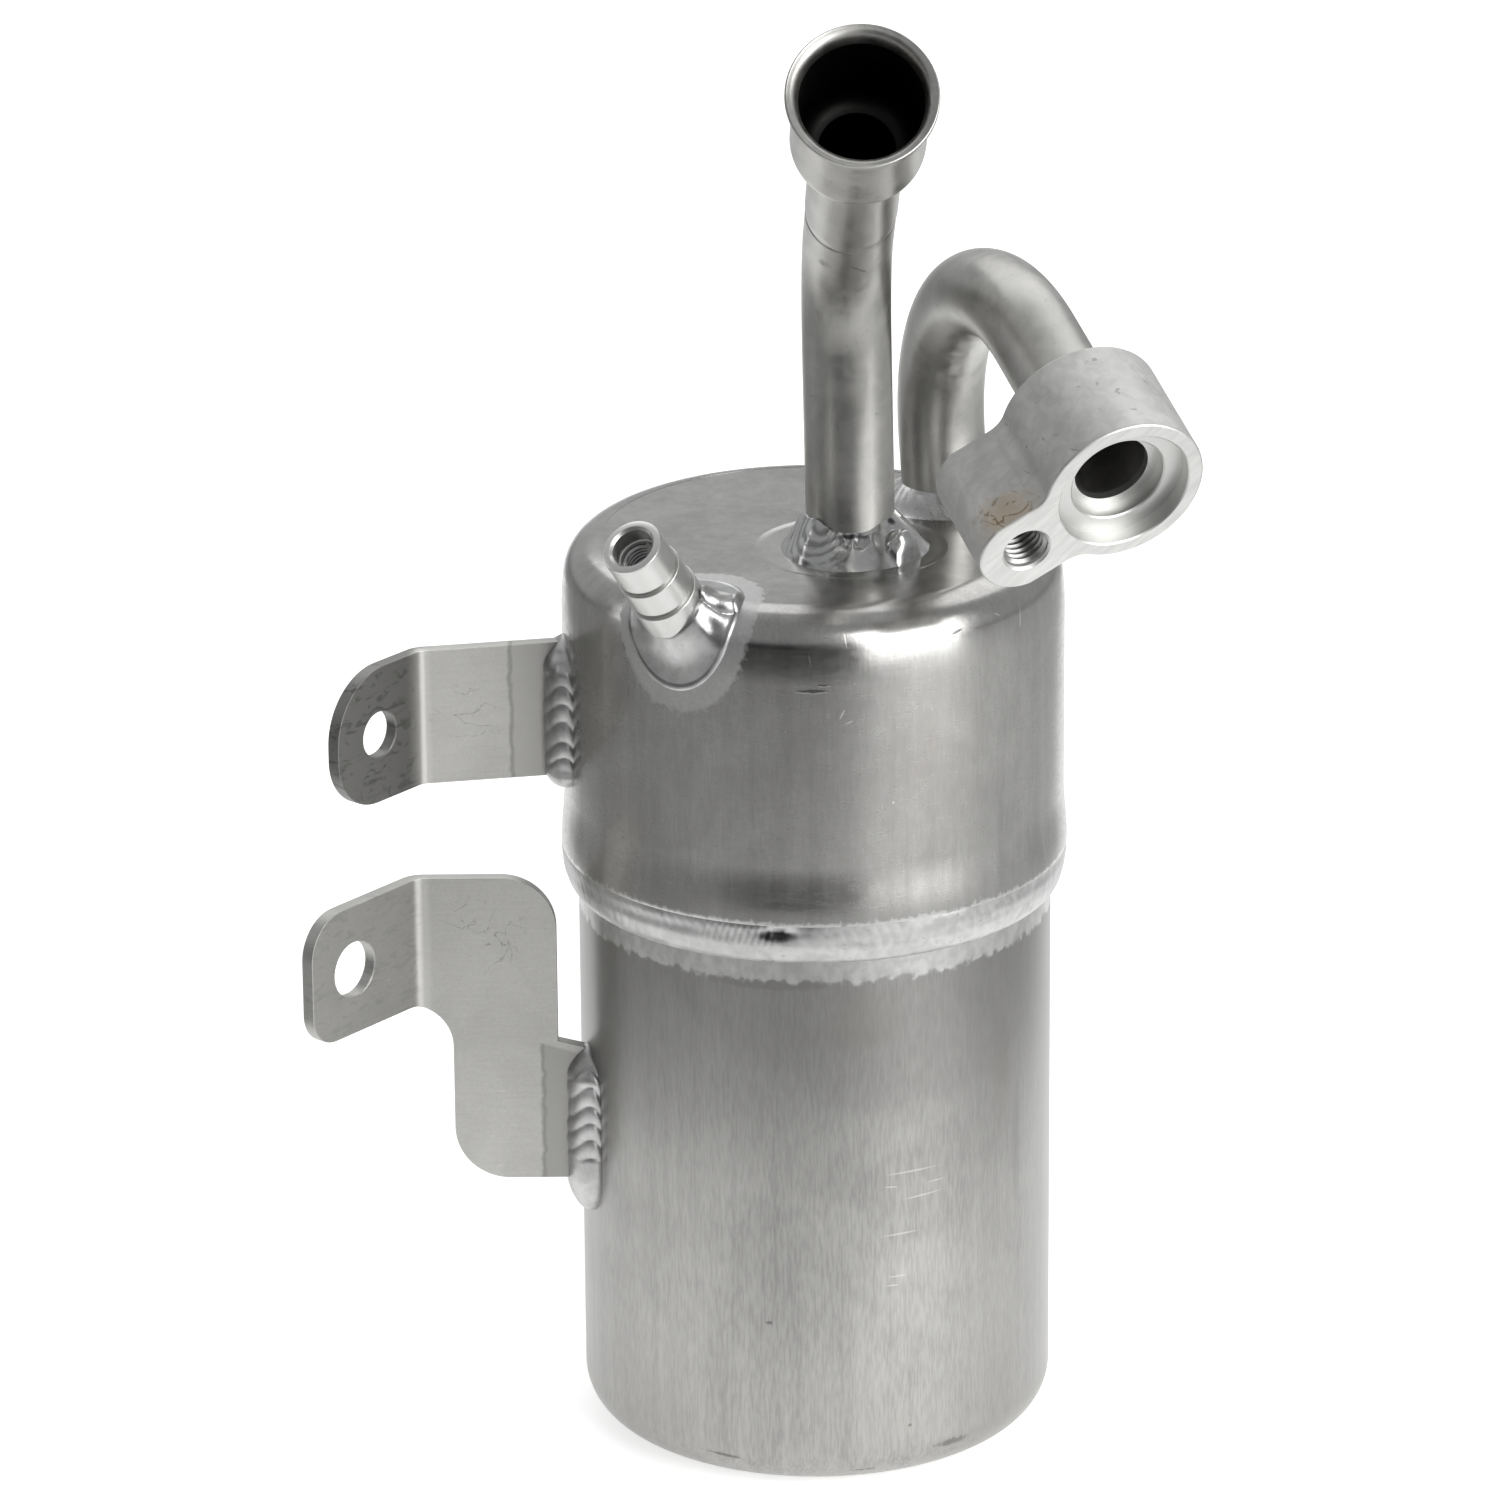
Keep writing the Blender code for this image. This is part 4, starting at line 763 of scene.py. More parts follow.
def tube_finish(name, colours, marks=(), dark_marks=()):
    """Extruded tube: die lines along the run, cloudy tarnish and handling marks."""
    finish = Finish(name)
    base = colours.tube
    cloud = finish.grain(90.0, 4.0, 0.8)
    fine = finish.grain(1900.0, 3.0)
    drawn = finish.grain((1500.0, 120.0, 120.0), 3.0)
    rough = finish.grain(700.0, 4.0, 1.0)
    mottle = finish.step(finish.grain(260.0, 4.0, 1.2), 0.3, 0.7)
    tone = finish.step(cloud, 0.3, 0.7) * 0.4 + mottle * 0.3 + fine * 0.1 + drawn * 0.2
    colour = finish.mixed(tone, shade(base, 0.74), shade(base, 1.14))
    specks = finish.step(rough, 0.66, 0.74)
    colour = finish.mixed(specks * 0.4, colour, shade(base, 0.45))
    for centre, reach, turned in dark_marks:
        colour = finish.mixed(finish.patch(centre, reach, turned, rough) * 0.65, colour, shade(base, 0.32))
    for centre, reach, turned in marks:
        colour = finish.mixed(finish.patch(centre, reach, turned, rough, 0.8) * 0.7, colour, shade(base, 1.7))
    finish.emboss(drawn * 0.6 + fine * 0.4, 0.25, 0.05)
    return finish.done(colour, 0.26 + mottle * 0.08 + cloud * 0.09 + fine * 0.05)


def bore_painted_shade(colours):
    """Inside of a tube: painted shade, nearly black, with a faint sheen along the drawing direction."""
    finish = Finish("tube_bore_painted_shade")
    cloud = finish.grain(160.0, 3.0)
    fine = finish.grain((1900.0, 400.0, 1900.0), 2.0)
    colour = finish.mixed(cloud * 0.7 + fine * 0.3, shade(colours.tube, 0.02), shade(colours.tube, 0.08))
    finish.emboss(fine, 0.2, 0.04)
    return finish.done(colour, 0.38 + cloud * 0.12)


def sheet_finish(name, colours, strip, fold, tab, cracks):
    """Rolled sheet: matte, with faint scratches, a cleaned strip at the weld, a painted highlight along the
    fold and painted shade on the tab.
    strip gives the strip's outer edge, its top and its tone."""
    finish = Finish(name)
    base = colours.sheet
    across, height = finish.axis("X"), finish.axis("Z")
    cloud = finish.grain(70.0, 4.0, 0.5)
    fine = finish.grain(2200.0, 2.0)
    rolled = finish.grain((160.0, 160.0, 1900.0), 3.0)
    tone = cloud * 0.5 + fine * 0.3 + rolled * 0.2
    colour = finish.mixed(finish.step(tone, 0.3, 0.7), shade(base, 0.9), shade(base, 1.1))
    hair = finish.grain((260.0, 260.0, 2300.0), 2.0, 0.6, turned=(0.3, 0.5, 0.2))
    hair = finish.step(hair, 0.70, 0.74) * finish.step(cloud, 0.45, 0.6)
    colour = finish.mixed(hair * 0.5, colour, shade(base, 1.4))
    # The strip cleaned for the weld has a dark outer edge
    ragged = finish.grain(320.0, 3.0) - 0.5
    from_strip = across + ragged * 0.0016 - strip[0] * MM
    below = 1.0 - finish.step(height + across * 0.3, (strip[1] - 0.6) * MM, strip[1] * MM)
    cleaned = finish.step(from_strip, 0.0, 0.3 * MM) * below
    outline = finish.step(from_strip, -0.5 * MM, 0.1 * MM)
    outline = outline * (1.0 - finish.step(from_strip, 0.2 * MM, 0.9 * MM))
    colour = finish.mixed(cleaned * 0.75, colour, shade(base, strip[2]))
    colour = finish.mixed(outline * below * 0.55, colour, shade(base, 0.45))
    # Painted highlight: a lighter band along the fold
    fold_highlight = finish.patch(fold[0], fold[1], soft=0.6)
    colour = finish.mixed(fold_highlight * 0.35, colour, shade(base, 1.45))
    # Painted shade: the tab is painted darker; it also has smears above its hole
    on_tab = 1.0 - finish.step(across, -72.5 * MM, -70.0 * MM)
    smears = finish.grain((240.0, 240.0, 620.0), 4.0, 1.2)
    colour = finish.mixed(on_tab * tab, colour, shade(base, 0.35))
    colour = finish.mixed(on_tab * tab * finish.step(smears, 0.52, 0.66) * 0.8, colour, shade(base, 0.22))
    # Fine dark hairlines where the sheet was bent and knocked
    vein = finish.grain((70.0, 70.0, 110.0), 5.0, 1.2)
    lines = finish.step(vein, 0.492, 0.498) * (1.0 - finish.step(vein, 0.502, 0.508))
    lines = lines * finish.patch(cracks[0], cracks[1], rough=cloud)
    colour = finish.mixed(lines * 0.55, colour, shade(base, 0.4))
    finish.emboss(fine * 0.6 + rolled * 0.4, 0.25, 0.04)
    finish.emboss(hair, 0.3, 0.02)
    return finish.done(colour, 0.45 + fine * 0.08)


def block_finish(colours, face):
    """Light milled sealing face with turning marks, satin sides with dried brown stains."""
    finish = Finish("block_aluminium")
    pocket, depth = finish.round_axis(face)
    front = finish.step(depth, -0.45 * MM, -0.1 * MM)
    seat = 1.0 - finish.step(pocket, 11.85 * MM, 12.1 * MM)
    base = colours.machined
    cloud = finish.grain(110.0, 4.0, 0.6)
    fine = finish.grain(2100.0, 2.0)
    rub = finish.step(finish.grain(330.0, 4.0, 1.2), 0.3, 0.7)
    side = finish.mixed(finish.step(cloud, 0.3, 0.7) * 0.5 + rub * 0.5, shade(base, 0.76), shade(base, 1.0))
    nicks = finish.step(finish.grain((160.0, 160.0, 420.0), 4.0, 2.0, turned=(0.4, 0.3, 0.2)), 0.68, 0.71)
    side = finish.mixed(nicks * 0.5, side, shade(base, 0.3))
    drip = finish.grain((420.0, 300.0, 420.0), 5.0, 1.6)
    # The stains sit on the small lobe's upper side, close to the sealing face
    where = face @ Vector((-0.019, 0.008, -0.0028)) / MM
    spot = finish.patch(where, (8.6, 6.0, 7.0), rough=drip, soft=0.85)
    vein = finish.grain((150.0, 110.0, 150.0), 4.0, 1.6)
    lines = spot * finish.step(vein, 0.46, 0.485) * (1.0 - finish.step(vein, 0.50, 0.525))
    side = finish.mixed(spot * 0.4, side, shade(colours.stain, 1.7))
    side = finish.mixed(lines * 0.85, side, shade(colours.stain, 0.7))
    milled = finish.grain((160.0, 1900.0, 160.0), 2.0, turned=(0.2, 0.0, 0.5))
    top = finish.mixed(finish.step(milled, 0.3, 0.7), shade(base, 0.98), shade(base, 1.12))
    colour = finish.mixed(front, side, top)
    turned = (pocket * (2.0 * math.pi / (0.32 * MM))).wave() * 0.5 + 0.5
    bright = finish.mixed(turned * 0.5 + fine * 0.3, shade(base, 0.9), shade(base, 1.2))
    colour = finish.mixed(seat, colour, bright)
    finish.emboss(fine, 0.25, 0.04)
    finish.emboss(turned * seat, 0.2, 0.03)
    finish.emboss(milled * front, 0.12, 0.02)
    skin = 0.7 + seat.or_more(front) * 0.3
    return finish.done(colour, 0.46 + fine * 0.08 - seat * 0.09 - front * 0.04, skin)


def turned_finish(name, colours, place):
    """Turned metal with a satin skin: faint rings round the piece's own axis."""
    finish = Finish(name)
    around, depth = finish.round_axis(place)
    wobble = finish.grain(90.0, 2.0)
    rings = (depth * (2.0 * math.pi / (0.3 * MM)) + wobble * 6.0).wave() * 0.5 + 0.5
    fine = finish.grain(1500.0, 2.0)
    base = colours.machined
    colour = finish.mixed(rings * 0.25 + wobble * 0.75, shade(base, 0.98), shade(base, 1.15))
    # Painted shade: the mouth's inside is painted darker and the bore deep in it nearly black
    inside = 1.0 - finish.step(around, 3.4 * MM, 3.65 * MM)
    colour = finish.mixed(inside * 0.5, colour, shade(base, 0.6))
    deep = inside * (1.0 - finish.step(depth, -3.9 * MM, -2.6 * MM))
    colour = finish.mixed(deep * 0.9, colour, shade(base, 0.1))
    finish.emboss(rings, 0.05, 0.02)
    finish.emboss(fine, 0.06, 0.02)
    return finish.done(colour, 0.33 + fine * 0.06 - inside * 0.12)


def dark_thread_finish(colours):
    """Cut thread in a hole, painted darker than the face round it as shade, and glossier."""
    finish = Finish("cut_thread")
    fine = finish.grain(2500.0, 3.0)
    colour = finish.mixed(fine, shade(colours.machined, 0.42), shade(colours.machined, 0.68))
    finish.emboss(fine, 0.2, 0.03)
    return finish.done(colour, 0.28 + fine * 0.1)


def hidden_tube_finish(colours):
    finish = Finish("pickup_aluminium")
    cloud = finish.grain((120.0, 120.0, 60.0), 4.0)
    lines = finish.grain((1900.0, 1900.0, 60.0), 2.0)
    colour = finish.mixed(cloud * 0.6 + lines * 0.4, shade(colours.tube, 0.9), shade(colours.tube, 1.3))
    finish.emboss(lines, 0.25, 0.04)
    return finish.done(colour, 0.32 + cloud * 0.12)


def moulded_finish(name, colour, gloss):
    """Moulded plastic: fine spark grain and a slight cloud in the gloss."""
    finish = Finish(name, 0.0, gloss)
    spark = finish.grain(2600.0, 2.0)
    cloud = finish.grain(80.0, 3.0)
    skin = finish.mixed(cloud * 0.7 + spark * 0.3, shade(colour, 0.85), shade(colour, 1.25))
    finish.emboss(spark, 0.3, 0.05)
    return finish.done(skin, gloss + cloud * 0.12)


def woven_finish(name, colour, pitch, depth):
    """A plain weave on the piece's own axes, for the strap and the screen."""
    finish = Finish(name, 0.0, 0.5)
    turns = 2.0 * math.pi / (pitch * MM)
    over = (finish.axis("Z") * turns).wave()
    along = ((finish.axis("X") + finish.axis("Y")) * turns).wave()
    weave = over * along * 0.5 + 0.5
    cloud = finish.grain(300.0, 3.0)
    skin = finish.mixed(weave * 0.6 + cloud * 0.4, shade(colour, 0.6), shade(colour, 1.05))
    finish.emboss(weave, 0.5, depth)
    return finish.done(skin, 0.45 + cloud * 0.15)


def felt_finish(colours):
    """Needled felt: short crossed fibres, soft hollows and a little dust in them."""
    finish = Finish("white_felt", 0.0, 0.95)
    fibre = finish.grain((2600.0, 700.0, 1400.0), 4.0, 2.5)
    crossed = finish.grain((700.0, 2600.0, 900.0), 4.0, 2.5, turned=(0.6, 0.2, 0.9))
    cloud = finish.grain(120.0, 3.0)
    skin = finish.mixed(fibre * 0.5 + crossed * 0.3 + cloud * 0.2, shade(colours.felt, 0.72),
                        shade(colours.felt, 1.12))
    finish.emboss(fibre * 0.5 + crossed * 0.5, 0.8, 0.25)
    return finish.done(skin, 0.85 + cloud * 0.1)


# Places of pieces

def inlet_axis():
    return (heading(math.pi) * math.sin(INLET_LEAN) + UP * math.cos(INLET_LEAN)).normalized()


def outlet_end():
    """Point and direction of the outlet tube's far end, which no radius changes."""
    run = outlet_run(MM, 8)
    run.shape.free()
    return run.point, run.direction


def outlet_run(radius, faces, bend_steps=8, straight_steps=1):
    """Draws the outlet tube's skin from inside the can to its far end."""
    run = Skin(OUTLET_FOOT - UP * OUTLET_BURIED, UP, radius, faces)
    run.go(OUTLET_BURIED + OUTLET_SQUARE_RISE)
    run.bend(heading(OUTLET_LEAN[2]), OUTLET_LEAN[0], OUTLET_LEAN[1], 3)
    run.go(OUTLET_RISE)
    run.bend(heading(OUTLET_BEND[2]), OUTLET_BEND[0], OUTLET_BEND[1], bend_steps)
    run.go(OUTLET_REACH, steps=straight_steps)
    return run


def block_face(block):
    """Matrix on the sealing face: Z leaves it, X runs from the bolt hole to the bore."""
    point, direction = outlet_end()
    level = UP.cross(direction).normalized()
    rise = direction.cross(level)
    x_axis = level * math.cos(BLOCK_ROLL) + rise * math.sin(BLOCK_ROLL)
    stop = block.seat_depth + block.step_depth + STOP_THICKNESS
    return frame_at(point + direction * stop, direction, x_axis)


def block_outline(block):
    """Two lobes joined by a waist, with hollow fillets into the large lobe."""
    half = block.waist / 2
    reach = block.radius + block.waist_fillet
    rise = half + block.waist_fillet
    fillet_x = -math.sqrt(reach**2 - rise**2)
    contact = math.degrees(math.atan2(rise, fillet_x))
    ear = math.degrees(math.asin(min(1.0, half / block.ear_radius)))
    points = arc((0, 0), block.radius, -contact, contact, 72)
    points += arc((fillet_x, rise), block.waist_fillet, contact - 180, -90, 10)[1:]
    points += arc((-block.ear_reach, 0), block.ear_radius, 180 - ear, 180 + ear, 40)
    points += arc((fillet_x, -rise), block.waist_fillet, 90, 180 - contact, 10)[:-1]
    return points


def port_mouth(can, port):
    """Matrix at the service port's mouth, with Z leaving it."""
    outward = heading(PORT_AZIMUTH)
    axis = outward * math.cos(PORT_ELEVATION) + UP * math.sin(PORT_ELEVATION)
    centre = outward * (can.radius - can.shoulder) + UP * (can.height - can.shoulder)
    return frame_at(centre + axis * (can.shoulder + port.height), axis, outward)


def tab_distance(brackets, plate, reach):
    """Flat-pattern distance of a point that lies reach beyond the fold, along the tab."""
    turn_angle = TAB_HEADING - plate[0]
    setback = brackets.fold_radius * math.tan(turn_angle / 2)
    return plate[1] - setback + brackets.fold_radius * turn_angle + reach - setback


def folded(brackets, shape, plate):
    """Bends a flat plate, drawn as (distance from the can, height), at its fold line."""
    angle = TAB_HEADING - plate[0]
    radius = brackets.fold_radius
    fold_at = plate[1] - radius * math.tan(angle / 2)
    for i in range(13):
        line = Vector((fold_at + radius * angle * i / 12, 0, 0))
        everything = shape.verts[:] + shape.edges[:] + shape.faces[:]
        bmesh.ops.bisect_plane(shape, geom=everything, plane_co=line, plane_no=(1, 0, 0), dist=1e-7)
    start = Vector((0.0, -plate[2], 0.0))
    for vert in shape.verts:
        along, height, across = vert.co.x, vert.co.y, -vert.co.z
        arc_angle = min(max(along - fold_at, 0.0) / radius, angle)
        beyond = max(0.0, along - fold_at - radius * angle)
        front = heading(plate[0] + math.pi / 2)
        if along <= fold_at:
            point = start + heading(plate[0]) * along - front * across
        else:
            centre = start + heading(plate[0]) * fold_at + front * radius
            turned_front = heading(plate[0] + arc_angle + math.pi / 2)
            point = centre - turned_front * (radius + across)
            point += heading(plate[0] + arc_angle) * beyond
        vert.co = (point.x, point.y, height)
    bmesh.ops.recalc_face_normals(shape, faces=shape.faces)
    return shape


# Operators

class ACCUMULATOR_OT_shells(Operator):
    """Model the upper and the lower shell"""
    bl_idname = "accumulator.shells"
    bl_label = "Shells"

    def execute(self, context):
        scene = context.scene
        can, port = scene.accumulator_can, scene.accumulator_port
        inner_top = can.height - can.end_wall
        bore = can.radius - can.wall
        inner_corner = can.shoulder - can.wall
        lip = can.radius + can.flare
        profile = [(0.0, can.height), (can.radius - can.shoulder - 0.4 * MM, can.height)]
        # The drawn shoulder runs out into the wall over a few millimetres
        ease, lean = 6.5 * MM, 7.0
        pull = ease * math.radians(lean) / 2
        middle = (can.radius - can.shoulder - pull, can.height - can.shoulder)
        profile += arc(middle, can.shoulder + 0.05 * MM, 90, lean, 20)
        start = Vector(profile[-1])
        for i in range(1, 7):
            out = (can.radius - start.x) * (1 - (1 - i / 6) ** 2)
            profile.append((start.x + out, start.y - ease * i / 6))
        swell = can.flare_length + 4.0 * MM
        for i in range(13):
            profile.append((can.radius + can.flare * smooth(0.0, 1.0, i / 12),
                            can.waist + 1.2 * MM + swell * (1 - i / 12)))
        profile += [(lip, can.waist + 0.5 * MM), (lip - 0.15 * MM, can.waist + 0.12 * MM),
                    (lip - 0.5 * MM, can.waist), (bore, can.waist)]
        profile += arc((bore - inner_corner, inner_top - inner_corner), inner_corner, 0, 90, 10)
        profile += [(0.0, inner_top)]
        upper = lathe(profile, 256)
        deep, proud = 25.0 * MM, 2.0 * MM
        inlet_hole, outlet_hole = 8.2 * MM, 8.1 * MM
        inlet = lathe([(0.0, -deep), (inlet_hole, -deep), (inlet_hole, deep), (0.0, deep)], 64,
                      frame_at(INLET_FOOT, inlet_axis(), (1, 0, 0)))
        outlet = lathe([(0.0, -deep), (outlet_hole, -deep), (outlet_hole, proud), (0.0, proud)], 64,
                       Matrix.Translation(OUTLET_FOOT))
        seat = -port.height
        collar, tail, depth = 6.5 * MM, 5.3 * MM, 14.0 * MM
        port_hole = lathe([(0.0, 0.0), (collar, 0.0), (collar, seat), (tail, seat),
                           (tail, seat - depth), (0.0, seat - depth)], 48, port_mouth(can, port))
        shallow = 0.22 * MM
        edge = can.cleaned_radius
        dish = [(0.0, -0.6 * shallow), (edge - 3.0 * MM, -0.6 * shallow), (edge - 1.6 * MM, -shallow),
                (edge - 0.8 * MM, -0.8 * shallow), (edge - 0.1 * MM, -0.02 * MM),
                (edge + 0.8 * MM, 0.3 * MM), (0.0, 0.3 * MM)]
        dish = lathe(dish, 128, Matrix.Translation((INLET_FOOT.x, INLET_FOOT.y, can.height)))
        upper = carved(upper, [dish, inlet, outlet, port_hole])
        ring = port_mouth(can, port) @ Matrix.Translation((0, 1.8 * MM, 0))
        finish = upper_shell_finish(scene.accumulator_colours, ring)
        publish("upper_shell_drawn", upper, finish, "upper_shell", 28.0)

        rim = can.waist + can.lap
        foot, corner = can.foot_radius, can.foot_corner
        bore = foot - can.wall
        inner_corner = corner - can.wall
        profile = [(0.0, can.end_wall)]
        profile += arc((bore - inner_corner, can.end_wall + inner_corner), inner_corner, -90, 0, 10)
        lead_in, edge = 0.4 * MM, 0.5 * MM
        profile += [(bore, rim - lead_in), (bore + lead_in, rim), (foot - edge, rim), (foot, rim - edge)]
        profile += [(foot, height * MM) for height in (90.0, 60.0, 30.0)]
        profile += arc((foot - corner, corner), corner, 0, -90, 20)
        profile += [(foot - corner - 0.4 * MM, 0.0), (0.0, 0.0)]
        publish("lower_shell_drawn", lathe(profile, 256), lower_shell_finish(scene.accumulator_colours),
                "lower_shell", 28.0)
        return {"FINISHED"}


class ACCUMULATOR_OT_tubes(Operator):
    """Model the inlet tube with its socket and the outlet tube"""
    bl_idname = "accumulator.tubes"
    bl_label = "Bent tubes"

    def execute(self, context):
        scene = context.scene
        tubes = scene.accumulator_tubes
        axis = inlet_axis()
        run = Skin(INLET_FOOT - axis * INLET_BURIED, axis, tubes.inlet_radius, 72)
        bend_radius, angle, azimuth = INLET_BEND
        run.go(INLET_BURIED + INLET_RISE)
        run.bend(heading(azimuth), bend_radius, angle, 30)
        shoulder_start = INLET_REACH - tubes.socket_depth - tubes.shoulder
        neck_start = shoulder_start - NECK_LENGTH
        mark = neck_start - 2.6 * MM
        shallow = tubes.inlet_radius - 0.16 * MM
        run.go(mark)
        run.go(0.25 * MM, shallow)
        run.go(0.5 * MM)
        run.go(0.35 * MM, tubes.inlet_radius)
        run.go(1.5 * MM)
        run.go(0.8 * MM, tubes.neck_radius)
        run.go(NECK_LENGTH - 0.8 * MM)
        outer_rise = tubes.socket_radius - tubes.neck_radius
        previous = 0.0
        for i in range(1, 13):
            a = math.radians(7.5 * i)
            along = tubes.shoulder * (1 - math.cos(a))
            run.go(along - previous, tubes.neck_radius + outer_rise * math.sin(a))
            previous = along
        run.go(tubes.socket_depth - tubes.lip_length)
        lip_rise = tubes.lip_radius - tubes.socket_radius
        previous = 0.0
        for i in range(1, 11):
            a = math.radians(9 * i)
            along = tubes.lip_length * 0.65 * math.sin(a)
            run.go(along - previous, tubes.socket_radius + lip_rise * (1 - math.cos(a)))
            previous = along
        edge = 0.3 * MM
        run.go(tubes.lip_length - previous - edge, tubes.lip_radius)
        run.go(edge * 0.75, tubes.lip_radius - edge * 0.25)
        run.go(edge * 0.25, tubes.lip_radius - edge * 0.8)
        mouth_bore = tubes.lip_radius - 0.48 * MM
        run.go(-0.12 * MM, mouth_bore)
        bore_rise = mouth_bore - tubes.socket_bore
        previous = 0.0
        for i in range(1, 11):
            a = math.radians(9 * i)
            along = (tubes.lip_length - 0.12 * MM) * (1 - math.cos(a))
            run.go(previous - along, mouth_bore - bore_rise * math.sin(a))
            previous = along
        outside = set(run.shape.faces)
        run.go(tubes.lip_length - tubes.socket_depth)
        inner_rise = tubes.socket_bore - tubes.inlet_bore
        previous = 0.0
        for i in range(1, 9):
            a = math.radians(11.25 * i)
            along = tubes.shoulder * math.sin(a)
            run.go(previous - along, tubes.inlet_bore + inner_rise * math.cos(a))
            previous = along
        run.go(tubes.socket_depth + tubes.shoulder - INLET_REACH)
        run.unbend()
        run.go(-INLET_BURIED - INLET_RISE)
        for face in set(run.shape.faces) - outside:
            face.material_index = 1
        shape = run.close()
        marks = (((9.4, -32.0, 243.0), (0.45, 5.0, 4.6), (0.0, 0.0, 0.0)),
                 ((11.0, -29.0, 236.0), (0.5, 4.0, 2.2), (0.1, 0.2, 0.0)))
        dark_marks = (((2.6, -24.5, 226.8), (2.0, 3.0, 1.8), (0.0, 0.0, 0.0)),
                      ((9.0, -28.5, 224.5), (3.6, 6.0, 0.5), (0.0, 0.7, 0.0)))
        finish = tube_finish("inlet_tube_aluminium", scene.accumulator_colours, marks, dark_marks)
        # Painted shade, nearly black, on the socket's and the tube's insides
        inside = bore_painted_shade(scene.accumulator_colours)
        publish("inlet_tube_bent", shape, finish, "inlet_tube", 40.0, inside)

        run = outlet_run(tubes.outlet_radius, 96, 90, 12)
        pivot = run.bends[1][0]
        run.go(0.0, tubes.outlet_bore)
        run.go(-OUTLET_REACH)
        run.unbend()
        run.go(-OUTLET_RISE)
        run.unbend()
        run.go(-OUTLET_BURIED - OUTLET_SQUARE_RISE)
        shape = run.close()

        def wrinkle(point):
            """Low folds on the inside of the bend."""
            away = (point - pivot).length
            if away > 34.0 * MM or point.z < OUTLET_FOOT.z + 8.0 * MM:
                return 0.0
            inside = 1.0 - smooth(28.8 * MM, 31.5 * MM, away)
            level = (point - pivot)
            sweep = math.atan2(level.z, math.hypot(level.x, level.y))
            window = smooth(0.35, 0.6, sweep) * (1.0 - smooth(1.35, 1.55, sweep))
            rumple = noise.noise(point * 260.0) * 0.20 + noise.noise(point * 700.0) * 0.07
            return (math.sin(sweep * 30.0) * 0.10 + rumple) * MM * inside * window

        push(shape, wrinkle)
        marks = (((44.0, -6.0, 222.0), (2.2, 5.0, 0.4), (0.0, 0.6, 0.0)),)
        dark_marks = (((31.5, 2.0, 212.0), (2.5, 3.0, 0.6), (0.0, 0.8, 0.0)),
                      ((32.5, -4.0, 207.5), (1.0, 3.0, 1.6), (0.0, 0.0, 0.0)))
        finish = tube_finish("outlet_tube_aluminium", scene.accumulator_colours, marks, dark_marks)
        publish("outlet_tube_bent", shape, finish, "outlet_tube", 40.0)
        return {"FINISHED"}


class ACCUMULATOR_OT_block(Operator):
    """Model the outlet block, its stepped bore and its threaded hole"""
    bl_idname = "accumulator.block"
    bl_label = "Outlet block"

    def execute(self, context):
        scene = context.scene
        block, tubes = scene.accumulator_block, scene.accumulator_tubes
        face = block_face(block)
        body = prism(block_outline(block), block.thickness, block.edge, 3)
        bmesh.ops.transform(body, matrix=face, verts=body.verts)
        proud = 1.0 * MM
        edge = 0.25 * MM
        seat, step = -block.seat_depth, -block.seat_depth - block.step_depth
        stop = step - STOP_THICKNESS
        bore, pocket = tubes.outlet_bore, tubes.outlet_radius + 0.1 * MM
        profile = [(0.0, proud), (block.seat_radius + edge + proud, proud),
                   (block.seat_radius + edge, 0.0), (block.seat_radius, -edge),
                   (block.seat_radius, seat), (block.step_radius + edge, seat),
                   (block.step_radius, seat - edge), (block.step_radius, step), (bore, step),
                   (bore, stop), (pocket, stop), (pocket, -block.thickness - proud),
                   (0.0, -block.thickness - proud)]
        stepped = lathe(profile, 128, face)
        radius, crest = block.bolt_radius, block.bolt_crest
        mouth = 0.45 * MM
        end = -block.thickness
        profile = [(0.0, proud), (radius + mouth + proud, proud), (radius, -mouth),
                   (radius, end + mouth), (radius + mouth + proud, end - proud), (0.0, end - proud)]
        hole_place = face @ Matrix.Translation((-block.bolt_reach, 0, 0))
        hole = lathe(profile, 72, hole_place)
        body = carved(body, [stepped, hole])
        publish("outlet_block_machined", body, block_finish(scene.accumulator_colours, face),
                "outlet_block", 30.0)
        plain = 1.2 * MM
        turns = (block.thickness - 2 * plain) / block.pitch
        thread = coil(radius + THREAD_SUNK, crest, block.pitch, turns)
        low = hole_place @ Matrix.Translation((0, 0, end + plain))
        bmesh.ops.transform(thread, matrix=low, verts=thread.verts)
        publish("outlet_block_thread", thread, dark_thread_finish(scene.accumulator_colours),
                None, 20.0)
        return {"FINISHED"}


